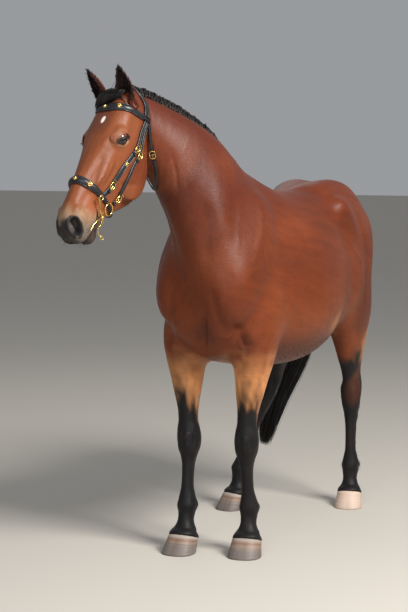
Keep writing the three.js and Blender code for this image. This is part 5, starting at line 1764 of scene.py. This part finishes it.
def make_lashes():
    roots, ways = [], []
    for socket in sockets.values():
        for i in range(LASHES):
            angle = math.radians(20 + 140 * (i + RNG.random()) / LASHES)
            a, b = LID_HALF[1] * math.cos(angle), LID_UP * math.sin(angle) ** 1.15 + 0.8
            h = math.sqrt(max(EYE_RADIUS**2 - a * a - b * b, 1)) + LID_EDGE
            roots.append(socket.world(np.array([a, b, h])))
            way = socket.h * 0.9 + socket.b * RNG.uniform(-0.15, 0.25) + socket.a * 0.3 * RNG.normal()
            ways.append(way)
    bristles("lashes", roots, ways, RNG.uniform(11, 19, len(roots)), 0.45)


make_whiskers()
make_lashes()

# ---------------------------------------------------------------- hooves

HOOF_RINGS, HOOF_AROUND = 34, 120
HORN_LOW, HORN_MIDDLE = shade(112, 102, 96), shade(136, 116, 102)
HORN_TOP, HORN_BAND = shade(158, 146, 136), shade(130, 92, 70)
PALE_HORN = shade(206, 182, 164)
DARK_HORN = shade(70, 62, 56)


def hoof_material():
    """Horn, dull and a little rough."""
    material, nodes, links, shader = new_material("horn", {"Roughness": 0.55})
    links.new(attribute(nodes, "coat").outputs["Color"], shader.inputs["Base Color"])
    height = noise(nodes, links, attribute(nodes, "grain").outputs["Vector"], 420)
    roughen(nodes, links, shader, height, 0.4, 0.001)
    return material


def make_hoof(name, material):
    """The horn of one hoof: streaks down the wall, growth rings, a paler top and a cleft at the heels."""
    h, (x, y), forward, left, slope = hoof_frame(name)
    turn = np.linspace(0, 2 * math.pi, HOOF_AROUND, endpoint=False)
    levels = [0.0, 0.012, 0.04, *np.linspace(0.08, 0.93, HOOF_RINGS), 0.965, 1.0]
    points, colour, grain = [], [], []
    pale = name == "hind_left"
    shift = 7.0 * list(LEGS).index(name)
    for u in levels:
        rings = 0.4 * math.sin(u * 31 + shift) + 0.2 * math.sin(u * 67 + 1 + shift)
        band = 2.2 * math.exp(-(((u - 0.86) / 0.09) ** 2))
        worn = 3.0 * max(1 - u / 0.03, 0)
        tuck = 6.0 * max((u - 0.95) / 0.05, 0)
        out = rings * (0.05 < u < 0.95) + band - worn - tuck
        toe = h["toe"] + (h["top_toe"] - h["toe"]) * u + out
        heel = h["heel"] + (h["top_heel"] - h["heel"]) * u
        half = h["half"] + (h["top_half"] - h["half"]) * u + out
        length = (toe - heel) / 2
        p, q = superellipse(turn, half, length, HOOF_ROUND)
        heels = np.clip((-np.sin(turn) - 0.72) / 0.28, 0, 1)
        cleft = np.exp(-((p / 11) ** 2)) * heels * 13 * (0.35 + 0.65 * u)
        ahead = (toe + heel) / 2 + q + cleft
        z = u * (h["back"] + slope * (ahead - h["top_heel"]))
        flat = np.array([x, y, 0]) + np.outer(ahead, forward) + np.outer(p, left)
        points.append(flat + np.outer(z, (0, 0, 1)))
        strip = np.column_stack([p, q, np.full(len(p), u * 6 + shift)])
        lines = 0.6 * cloud(strip, 9.0, 0.4) + 0.4 * cloud(strip, 5.0, 2.4)
        ringing = cloud(np.column_stack([np.full((len(p), 2), shift), u * 90 + p * 0.02]), 5.5, 0.9)
        tone = np.tile(HORN_LOW, (len(p), 1))
        tone = mix(tone, HORN_MIDDLE, smoothstep(0.35, 0.62, u + (ringing - 0.5) * 0.2))
        tone = mix(tone, HORN_BAND, np.exp(-(((u - 0.68) / 0.05) ** 2)) * np.ones(len(p)) * 0.8)
        tone = mix(tone, HORN_TOP, smoothstep(0.74, 0.82, u + (ringing - 0.5) * 0.06))
        if pale:
            tone = mix(tone, PALE_HORN, np.full(len(p), 0.85))
        tone = mix(tone, DARK_HORN, (lines - 0.45) * 1.1 * smoothstep(0.8, 0.66, u) * (0.2 if pale else 0.9))
        # Darker towards the ground
        tone = mix(tone, DARK_HORN, np.full(len(p), 0.5 * math.exp(-u / 0.05)))
        colour.append(np.clip(tone * (0.93 + 0.14 * ringing)[:, None], 0, 1))
        grain.append(np.column_stack([p, q, np.full(len(p), u * 12)]) * MM)
    polygons = ring_faces(len(levels), HOOF_AROUND)
    polygons.append(tuple(reversed(range(HOOF_AROUND))))
    last = (len(levels) - 1) * HOOF_AROUND
    polygons.append(tuple(range(last, last + HOOF_AROUND)))
    points = np.concatenate(points)
    polygons = facing_out(points, polygons, points.mean(0))
    hoof = new_mesh(f"{name}_horn", points, polygons)
    dress(hoof, np.concatenate(colour), np.zeros(len(points)), np.concatenate(grain), material)
    hoof.data.set_sharp_from_angle(angle=math.radians(40))
    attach(hoof, "root")
    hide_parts(f"{name}_hoof")


horn = hoof_material()
for name in LEGS:
    make_hoof(name, horn)

# ---------------------------------------------------------------- the bridle

LEATHER_GAP = 1.0  # between the skin and a strap's back
STATION = 7.0


def mirrored(route):
    return [(t, n, -s) for t, n, s in route]


def plain_material(name, colour, roughness, metallic=0.0, grain=0.0):
    """A simple finish, with a fine relief if asked for."""
    settings = {"Base Color": (*colour, 1), "Roughness": roughness, "Metallic": metallic}
    material, nodes, links, shader = new_material(name, settings)
    if grain:
        place = nodes.new("ShaderNodeTexCoord").outputs["Object"]
        roughen(nodes, links, shader, noise(nodes, links, place, 900), grain, 0.0006)
    return material


leather = plain_material("black bridle leather", shade(28, 29, 33), 0.36, grain=0.35)
thread = plain_material("waxed thread", shade(58, 58, 60), 0.6)
brass = plain_material("polished brass", shade(232, 196, 120), 0.2, metallic=1.0)
STITCH_GAP, STITCH_LENGTH, STITCH_RADIUS = 6.5, 4.2, 0.55


def spline(line, count, looped=False):
    """Evenly spaced places along a smooth curve through the given ones."""
    line = np.array(line, float)
    if looped:
        line = np.concatenate([line[-3:], line, line[:4]])
    gaps = np.concatenate([[0], np.cumsum(np.sqrt(np.linalg.norm(np.diff(line, axis=0), axis=1)))])
    curve = profile(np.column_stack([gaps, line]))
    low, high = (gaps[3], gaps[-4]) if looped else (gaps[0], gaps[-1])
    fine = curve(np.linspace(low, high, 600))[:, 1:]
    run = np.concatenate([[0], np.cumsum(np.linalg.norm(np.diff(fine, axis=0), axis=1))])
    at = np.linspace(0, run[-1], count + 1 if looped else count)
    if looped:
        at = at[:-1]
    return np.stack([np.interp(at, run, fine[:, k]) for k in range(3)], 1), run[-1]


def way_along(line, closed):
    return unit(np.roll(line, -1, 0) - np.roll(line, 1, 0) if closed else np.gradient(line, axis=0))


def strap_lines(route, looped):
    """Stations along a strap's middle, on the skin: places, and directions outward and across."""
    _, length = spline(from_head(np.array(route)), 50, looped)
    middle, _ = spline(from_head(np.array(route)), max(int(length / STATION), 4), looped)
    middle, out = settle(middle, rounds=4)
    along = way_along(middle, looped)
    for _ in range(2):
        pad = [middle[-1:], middle, middle[:1]] if looped else [middle[:1], middle, middle[-1:]]
        padded = np.concatenate(pad)
        middle = (padded[:-2] + 2 * padded[1:-1] + padded[2:]) / 4
    return middle, out, unit(np.cross(along, out))


# Across a strap: place from edge to edge and height, from 0 at its back to 1 at its face; its seams' places
FLAT = [(-1, 0.12), (-1, 0.6), (-0.93, 0.92), (-0.84, 1.0), (-0.74, 0.86), (-0.64, 1.0), (0, 1.04)]
PADDED = [(-1, 0.1), (-1, 0.34), (-0.93, 0.48), (-0.82, 0.50), (-0.74, 0.42), (-0.62, 0.66)]
PADDED += [(-0.4, 0.92), (0, 1.04)]
SEAM, SEAM_HEIGHTS = 0.74, (0.9, 0.47)


def strap_mesh(route, width, thick, section=FLAT, looped=False, lift=0.0):
    """A leather strap lying on the skin, and its seams. Its width may follow the share of its length."""
    middle, out, across = strap_lines(route, looped)
    count = len(middle)
    share = np.arange(count) / (count if looped else count - 1)
    half = (width(share) if callable(width) else np.full(count, float(width))) / 2

    def raised(a, height):
        spot, up = settle(middle + across * (half * a)[:, None], rounds=2)
        return spot + up * (LEATHER_GAP + lift + height), up

    ring = section + [(-a, h) for a, h in section[-2::-1]] + [(0.5, 0.0), (-0.5, 0.0)]
    points = np.stack([raised(a, thick * h)[0] for a, h in ring], 1).reshape(-1, 3)
    around = len(ring)
    polygons = ring_faces(count, around, looped)
    if not looped:
        polygons.append(tuple(reversed(range(around))))
        polygons.append(tuple(range((count - 1) * around, count * around)))
    groove = SEAM_HEIGHTS[section is PADDED]
    seams = [raised(edge, thick * groove + 0.1) for edge in (-SEAM, SEAM)]
    return points, turned(points, polygons, around, middle[0] - out[0]), seams


STITCH_FACES = ((0, 1, 2), (3, 2, 1), (0, 4, 1), (3, 1, 4), (0, 2, 4), (3, 4, 2))


def stitches(seams):
    """Small raised stitches along the seams."""
    points, polygons = [], []
    for line, up in seams:
        run = np.concatenate([[0], np.cumsum(np.linalg.norm(np.diff(line, axis=0), axis=1))])
        for place in np.arange(STITCH_GAP, run[-1] - STITCH_GAP / 2, STITCH_GAP):
            ends = [place - STITCH_LENGTH / 2, place + STITCH_LENGTH / 2]
            a, b = (np.array([np.interp(e, run, line[:, k]) for k in range(3)]) for e in ends)
            i = min(int(np.searchsorted(run, place)), len(line) - 1)
            w, r = unit(np.cross(b - a, up[i])), STITCH_RADIUS
            mid = (a + b) / 2 + up[i] * r
            first = len(points)
            points += [a - up[i] * 0.4, mid + w * r, mid - w * r, b - up[i] * 0.4, mid - up[i] * r]
            polygons += [tuple(first + j for j in p) for p in STITCH_FACES]
    return points, polygons


def tube(line, radius, around=10, closed=False, count=None):
    """A round rod along a line; the radius may be one number or one for each end."""
    line = np.array(line, float)
    if count:
        line, _ = spline(line, count, closed)
    n = len(line)
    along = way_along(line, closed)
    side = unit(np.cross(along, np.array([0.31, 0.17, 0.93])))
    for i in range(1, n):
        side[i] = unit(side[i - 1] - along[i] * (side[i - 1] @ along[i]))
    other = np.cross(along, side)
    radii = np.linspace(*radius, n) if isinstance(radius, tuple) else np.full(n, float(radius))
    turn = np.linspace(0, 2 * math.pi, around, endpoint=False)
    points = line[:, None] + radii[:, None, None] * (
        side[:, None] * np.cos(turn)[None, :, None] + other[:, None] * np.sin(turn)[None, :, None]
    )
    polygons = ring_faces(n, around, closed)
    if not closed:
        polygons += [tuple(reversed(range(around))), tuple(range((n - 1) * around, n * around))]
    return points.reshape(-1, 3), polygons


def ball(middle, radius, flatten=1.0, way=None, around=12):
    """A ball, or a flattened dome facing one way."""
    way = unit(np.array(way if way is not None else (0, 0, 1.0)))
    side = unit(np.cross(way, (0.3, 0.5, 0.8)))
    other = np.cross(way, side)
    points, rings = [], 7
    for i in range(rings + 1):
        angle = math.pi * (0.02 + 0.96 * i / rings)
        for j in range(around):
            turn = 2 * math.pi * j / around
            flat = side * math.cos(turn) + other * math.sin(turn)
            points.append(middle + radius * (flat * math.sin(angle) + way * math.cos(angle) * flatten))
    polygons = [(a, d, c, b) for a, b, c, d in ring_faces(rings + 1, around)]
    polygons += [tuple(range(around)), tuple(reversed(range(rings * around, (rings + 1) * around)))]
    return np.array(points), polygons


def joined(name, parts, slot, *nodes):
    """One piece from several shells, each with the number of its material where that isn't 0."""
    points, polygons, numbers = [], [], []
    total = 0
    for shell_points, shell_polygons, *number in parts:
        points.append(np.asarray(shell_points, float))
        polygons += [tuple(i + total for i in p) for p in shell_polygons]
        numbers += [number[0] if number else 0] * len(shell_polygons)
        total += len(shell_points)
    piece = new_mesh(name, np.concatenate(points), polygons)
    palette = (leather, thread) if slot == "leather" else (brass, leather)
    for material in palette[: max(numbers) + 1]:
        piece.data.materials.append(material)
    piece.data.polygons.foreach_set("material_index", numbers)
    piece.data.set_sharp_from_angle(angle=math.radians(48))
    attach(piece, "root")
    if nodes:
        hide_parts(*nodes)


def leather_piece(name, node, route, width, thick, **options):
    """A strap with its stitches."""
    points, polygons, seams = strap_mesh(route, width, thick, **options)
    joined(name, [(points, polygons), (*stitches(seams), 1)], "leather", node)


# Routes of the straps in the head's frame: t, n, s
CROWN = [(50, -124, 87), (24, -118, 80), (-12, -108, 68), (-40, -66, 48), (-54, -20, 0)]
CROWN += mirrored(CROWN[-2::-1])
BROW = [(50, -120, 88), (60, -96, 89), (70, -31, 90), (82, 18, 56), (88, 28, 0)]
BROW += mirrored(BROW[-2::-1])
NOSE = [(458, 62, 0), (462, 30, 43), (468, -40, 60), (474, -110, 50), (482, -186, 20)]
NOSE += mirrored(NOSE[:0:-1])
THROAT = [(46, -134, 86), (66, -152, 84), (120, -208, 78), (160, -262, 70), (200, -330, 56), (232, -380, 24)]
THROAT += mirrored(THROAT[::-1])
CHEEKS = {
    "cheek_strap_front": [
        (44, -126, 86), (120, -122, 90), (208, -123, 93), (312, -97, 85), (379, -91, 71), (440, -80, 62),
        (486, -56, 64),
    ],
    "cheek_strap_rear": [
        (50, -136, 86), (120, -148, 90), (205, -153, 91), (271, -144, 90), (378, -147, 75), (418, -159, 53),
        (456, -148, 44),
    ],
}
CHEEK_WIDTHS = {
    "cheek_strap_front": lambda u: 17 + 7 * smoothstep(0.36, 0.42, u) * smoothstep(0.98, 0.9, u),
    "cheek_strap_rear": 15,
}
SIDES = {"left": 1, "right": -1}


def brow_width(u):
    return 20 + 19 * np.sin(math.pi * u) ** 0.8


def nose_width(u):
    return 25 + 13 * np.cos(2 * math.pi * u)


leather_piece("crownpiece_leather", "crownpiece", CROWN, 31, 5.5, lift=2.0)
leather_piece("browband_leather", "browband", BROW, brow_width, 9.0, section=PADDED, lift=1.0)
leather_piece("noseband_leather", "noseband", NOSE, nose_width, 12.0, section=PADDED, looped=True)
leather_piece("throatlatch_leather", "throatlatch", THROAT, 15, 5.0, lift=2.5)
for name, route in CHEEKS.items():
    for end, sided in (("left", route), ("right", mirrored(route))):
        leather_piece(f"{name}_leather_{end}", f"{name}_{end}", sided, CHEEK_WIDTHS[name], 5.5, lift=1.2)


class Spot:
    """A place on a strap: x along it, y across, z away from the skin."""

    def __init__(self, place, towards, lift):
        (self.middle,), (self.z,) = settle(from_head(np.array(place))[None], rounds=5)
        (other,), _ = settle(from_head(np.array(towards))[None], rounds=5)
        run = other - self.middle
        self.x = unit(run - self.z * (run @ self.z))
        self.y = np.cross(self.z, self.x)
        self.middle = self.middle + self.z * lift

    def at(self, local):
        local = np.array(local, float)
        return self.middle + local @ np.array([self.x, self.y, self.z])


def oval(spot, length, width, lift=0.0, power=2.6, count=28):
    turn = np.linspace(0, 2 * math.pi, count, endpoint=False)
    p, q = superellipse(turn, width / 2, length / 2, power)
    return spot.at(np.column_stack([q, p, np.full(count, lift)]))


BUCKLE_LENGTH, BUCKLE_WIDTH, BUCKLE_BAR = 34, 25, 2.1
KEEPER_HALF, KEEPER_LOW = 2.4, -3.5
STRAP_FACE = 8.6  # from the skin to a cheek strap's face
BUCKLES = {
    "buckle_front_upper": [(205, -124, 93), (250, -112, 93)],
    "buckle_front_lower": [(406, -86, 67), (440, -80, 62)],
    "buckle_rear_upper": [(218, -154, 91), (271, -144, 90)],
    "buckle_rear_lower": [(424, -160, 53), (450, -152, 46)],
    "buckle_throatlatch": [(150, -247, 72), (180, -295, 64)],
}


def make_buckle(name, place, towards, width):
    """An oval frame with a bar and a tongue, the strap's end run through it, and a keeper beyond."""
    spot = Spot(place, towards, STRAP_FACE)
    reach = BUCKLE_LENGTH / 2
    parts = [
        tube(oval(spot, BUCKLE_LENGTH, BUCKLE_WIDTH, 1.4), BUCKLE_BAR, 8, closed=True),
        tube(spot.at([(0, -width / 2 - 2, 0.8), (0, width / 2 + 2, 0.8)]), 1.5, 8),
        tube(spot.at([(-1, 0, 2.4), (reach * 0.5, 0, 3.2), (reach + 1, 0, 4.2)]), (1.6, 1.0), 8),
    ]
    for along in (-reach - 9, reach + 13):
        wide = spot.x * KEEPER_HALF
        band, inner = (
            spot.at([(along, -w, KEEPER_LOW), (along, -w, tall), (along, w, tall), (along, w, KEEPER_LOW)])
            for w, tall in ((width / 2 + 1.6, 2.4), (width / 2 + 0.5, 1.3))
        )
        points = np.concatenate([band - wide, band + wide, inner - wide, inner + wide])
        polygons = []
        for i in range(3):
            a, b, c, d = i, i + 1, i + 4, i + 5
            polygons += [(a, b, d, c), (a + 8, c + 8, d + 8, b + 8)]
            polygons += [(a, a + 8, b + 8, b), (c, d, d + 8, c + 8)]
        polygons += [(0, 4, 12, 8), (3, 11, 15, 7)]
        parts.append((points, polygons, 0 if along < 0 and "throat" not in name else 1))
    joined(name, parts, "brass", name.replace("_brass", ""))


for end, side in SIDES.items():
    flip = np.array([1, 1, side])
    for name, (place, towards) in BUCKLES.items():
        width = 15 if "throat" in name else 17
        make_buckle(f"{name}_brass_{end}", np.array(place) * flip, np.array(towards) * flip, width)


# Studs and bits: places in the head's frame
STUD_RADIUS = 9
STUDS = {
    "browband_stud_middle": ((86, 27, -8), 11.5, 4),
    "browband_stud_left": ((80, 17, 58), 11.0, 12),
    "noseband_stud_front": ((458, 60, 6), 13.0, 4),
    "noseband_stud_left": ((464, 20, 50), 13.0, 12),
}
RING = {"spot": (494, -125, 46), "radius": 26, "bar": 3.0, "lift": 17}
CURB = [(496, -30, 78), (520, -54, 76), (540, -70, 74), (552, -96, 68), (576, -106, 64), (598, -102, 60)]
CURB += [(612, -112, 57), (618, -136, 54)]
CURB_BAR = [(551, -97, 66), (576, -77, 69), (606, -64, 68), (632, -60, 66)]
CURB_EYE, CURB_DROP = (490, -44, 78), (618, -148, 54)
SNAFFLE_MOUTH, CURB_MOUTH = (520, -118, 30), (548, -96, 30)
CHAIN = [(532, -96, 50), (540, -140, 34), (548, -158, 0), (540, -140, -34), (532, -96, -50)]
CHAIN_LINKS = 17


def wheel(middle, a, b, count):
    """Places round a middle, by two directions that carry the radii."""
    turn = np.linspace(0, 2 * math.pi, count, endpoint=False)
    return middle + np.outer(np.cos(turn), a) + np.outer(np.sin(turn), b)


def make_stud(name, place, lift, around, *nodes):
    """A brass dome with a rim and beads; the four-sided ones are little pointed diamonds."""
    (middle,), (way,) = settle(from_head(np.array(place, float))[None], rounds=5)
    middle = middle + way * lift
    diamond = around == 4
    spin = np.linspace(0, 2 * math.pi, around * 2, endpoint=False)
    side = unit(HEAD[0] - way * (HEAD[0] @ way))
    other = np.cross(way, side)
    reach = STUD_RADIUS * (1 + (0.12 if diamond else 0.0) * np.cos(4 * spin))
    rim = middle + (np.cos(spin) * reach)[:, None] * side + (np.sin(spin) * reach)[:, None] * other
    parts = [
        ball(middle, STUD_RADIUS * 0.62, 0.7, way, 4 if diamond else around * 2),
        tube(rim, 1.3, 6, closed=True),
    ]
    beads, out, radius, faces = (4, 0.78, 2.6, 8) if diamond else (8, 0.74, 1.5, 6)
    for turn in np.arange(beads) * 2 * math.pi / beads:
        way_out = side * math.cos(turn) + other * math.sin(turn)
        parts.append(ball(middle + way_out * STUD_RADIUS * out, radius, 0.8, way, faces))
    joined(f"{name}_brass", parts, "brass", *nodes)


def make_bits(side, end):
    """The snaffle's ring and mouthpiece, and the curb bit's shank with its eye, bar and lower ring."""

    def placed(place):
        return from_head(np.array(place) * (1, 1, side))

    (skin_spot,), (way,) = settle(placed(RING["spot"])[None], rounds=6)
    way = unit(way * 0.7 + side * HEAD[2] * 0.5)
    middle = skin_spot + way * RING["lift"]
    x = unit(HEAD[0] - way * (HEAD[0] @ way))
    y = np.cross(way, x)
    mouth, hub = placed(SNAFFLE_MOUTH), middle + x * RING["radius"] * 0.5 - y * 2
    parts = [
        tube(wheel(middle, x * RING["radius"], y * RING["radius"], 40), RING["bar"], 10, closed=True),
        tube([mouth, (mouth + hub) / 2, middle + x * RING["radius"]], (7.0, 5.0), 12, count=8),
    ]
    joined(f"bradoon_ring_brass_{end}", parts, "brass", f"bradoon_ring_{end}")

    line = placed(CURB)
    hinge = placed(CURB[3])
    parts = [
        tube(line, (3.6, 2.6), 10, count=46),
        tube(wheel(placed(CURB_EYE), 12 * HEAD[0], 9 * HEAD[1], 24), 2.4, 8, closed=True),
        tube(placed(CURB_BAR), (3.8, 2.4), 10, count=16),
        ball(line[-1], 5.0),
        ball(hinge, 7.5),
        tube([placed(CURB_MOUTH), hinge], 6.0, 12, count=5),
        tube(wheel(placed(CURB_DROP), 8 * HEAD[0], 8 * HEAD[1], 24), 1.8, 8, closed=True),
    ]
    joined(f"curb_shank_brass_{end}", parts, "brass", f"curb_shank_{end}")


def make_chain():
    """Flat links under the chin, each turned a quarter to the next."""
    line, _ = spline(from_head(np.array(CHAIN)), CHAIN_LINKS * 6 + 1)
    middle, out = settle(line, rounds=3)
    middle = middle + out * 7
    along = unit(np.gradient(middle, axis=0))
    parts = []
    for i in range(CHAIN_LINKS):
        k = i * 6 + 3
        x, z = along[k], unit(out[k] - along[k] * (out[k] @ along[k]))
        y = np.cross(z, x)
        y = y if i % 2 else unit(y - z)
        length = np.linalg.norm(middle[k + 3] - middle[k - 3]) * 0.72
        parts.append(tube(wheel(middle[k], x * length, y * 5.0, 14), 1.5, 6, closed=True))
    joined("curb_chain_brass", parts, "brass", "curb_chain")


def make_junction_loop(side, end):
    """The loop of the browband's end round the crownpiece and the cheek straps."""
    spot = Spot((54, -122, 87 * side), (90, -126, 90 * side), 10.5)
    parts = []
    for along in (-6, 6):
        band = spot.at([(along, a, h) for a, h in ((-25, -8), (-20, 2.0), (0, 4.0), (20, 2.0), (25, -8))])
        parts.append(tube(band, 3.2, 8, count=18))
    joined(f"junction_loop_{end}", parts, "leather")


for name, (place, lift, around) in STUDS.items():
    make_stud(name, place, lift, around, name)
for end, side in SIDES.items():
    make_bits(side, end)
    make_stud(f"cheek_stud_{end}", (292, -101, 87 * side), 8.5, 12)
make_chain()
for end, side in SIDES.items():
    make_junction_loop(side, end)

# ---------------------------------------------------------------- the view

FILM_WIDTH = 36.0
FOCAL, FRAME_HEIGHT = 1634, 612  # focal length in units of the picture's height
DISTANCE = 7.2
TARGET = np.array([0.54, 0.0])
EYE_HEIGHT = 1.78
TURN = math.radians(60)
OFF_AXIS = 7 / FOCAL
PITCH = math.atan(151 / FOCAL)


def aimed(thing, place, way):
    thing.location = place
    thing.rotation_euler = Vector(way).to_track_quat("-Z", "Y").to_euler()
    return thing


def place_camera():
    view = np.array([-math.sin(TURN), -math.cos(TURN), 0])
    right = np.array([-math.cos(TURN), math.sin(TURN), 0])
    spot = np.array([*TARGET, EYE_HEIGHT]) - view * DISTANCE - right * OFF_AXIS * DISTANCE + SHIFT * MM
    data = bpy.data.cameras.new("camera")
    data.sensor_fit = "AUTO"
    data.sensor_width = FILM_WIDTH
    data.lens = FILM_WIDTH * FOCAL / FRAME_HEIGHT
    forward = view * math.cos(PITCH) - np.array([0, 0, math.sin(PITCH)])
    bpy.context.scene.camera = aimed(linked("camera", data), spot, forward)


def area_light(name, place, aim, size, power, colour):
    data = bpy.data.lights.new(name, "AREA")
    data.shape = "RECTANGLE"
    data.size, data.size_y = size
    data.energy = power
    data.color = colour
    aimed(linked(name, data), place, Vector(aim) - Vector(place))


place_camera()
area_light("key light", (1.2, 4.8, 5.2), (0.1, 0, 1.2), (2.6, 2.0), 640, (1.0, 0.97, 0.93))
area_light("fill light", (6.0, 2.0, 3.0), (0.4, 0, 1.2), (3.0, 3.0), 110, (0.93, 0.96, 1.0))
area_light("back light", (-4.0, -3.0, 4.5), (0, 0, 1.3), (3.0, 2.0), 25, (1.0, 0.97, 0.92))

world = bpy.data.worlds.new("surroundings")
bpy.context.scene.world = world
world.use_nodes = True
set_sockets(world.node_tree.nodes["Background"], {"Color": (0.93, 0.96, 1.0, 1), "Strength": 0.34})
bpy.context.scene.view_settings.view_transform = "Standard"


FLOOR_HALF = 60.0


def lay_floor():
    settings = {"Base Color": (0.52, 0.49, 0.44, 1), "Roughness": 0.9}
    mesh = bpy.data.meshes.new("floor")
    corners = [(a * FLOOR_HALF, b * FLOOR_HALF, 0) for a, b in ((-1, -1), (1, -1), (1, 1), (-1, 1))]
    mesh.from_pydata(corners, [], [(0, 1, 2, 3)])
    mesh.materials.append(new_material("pale ground", settings)[0])
    linked("floor", mesh)


lay_floor()
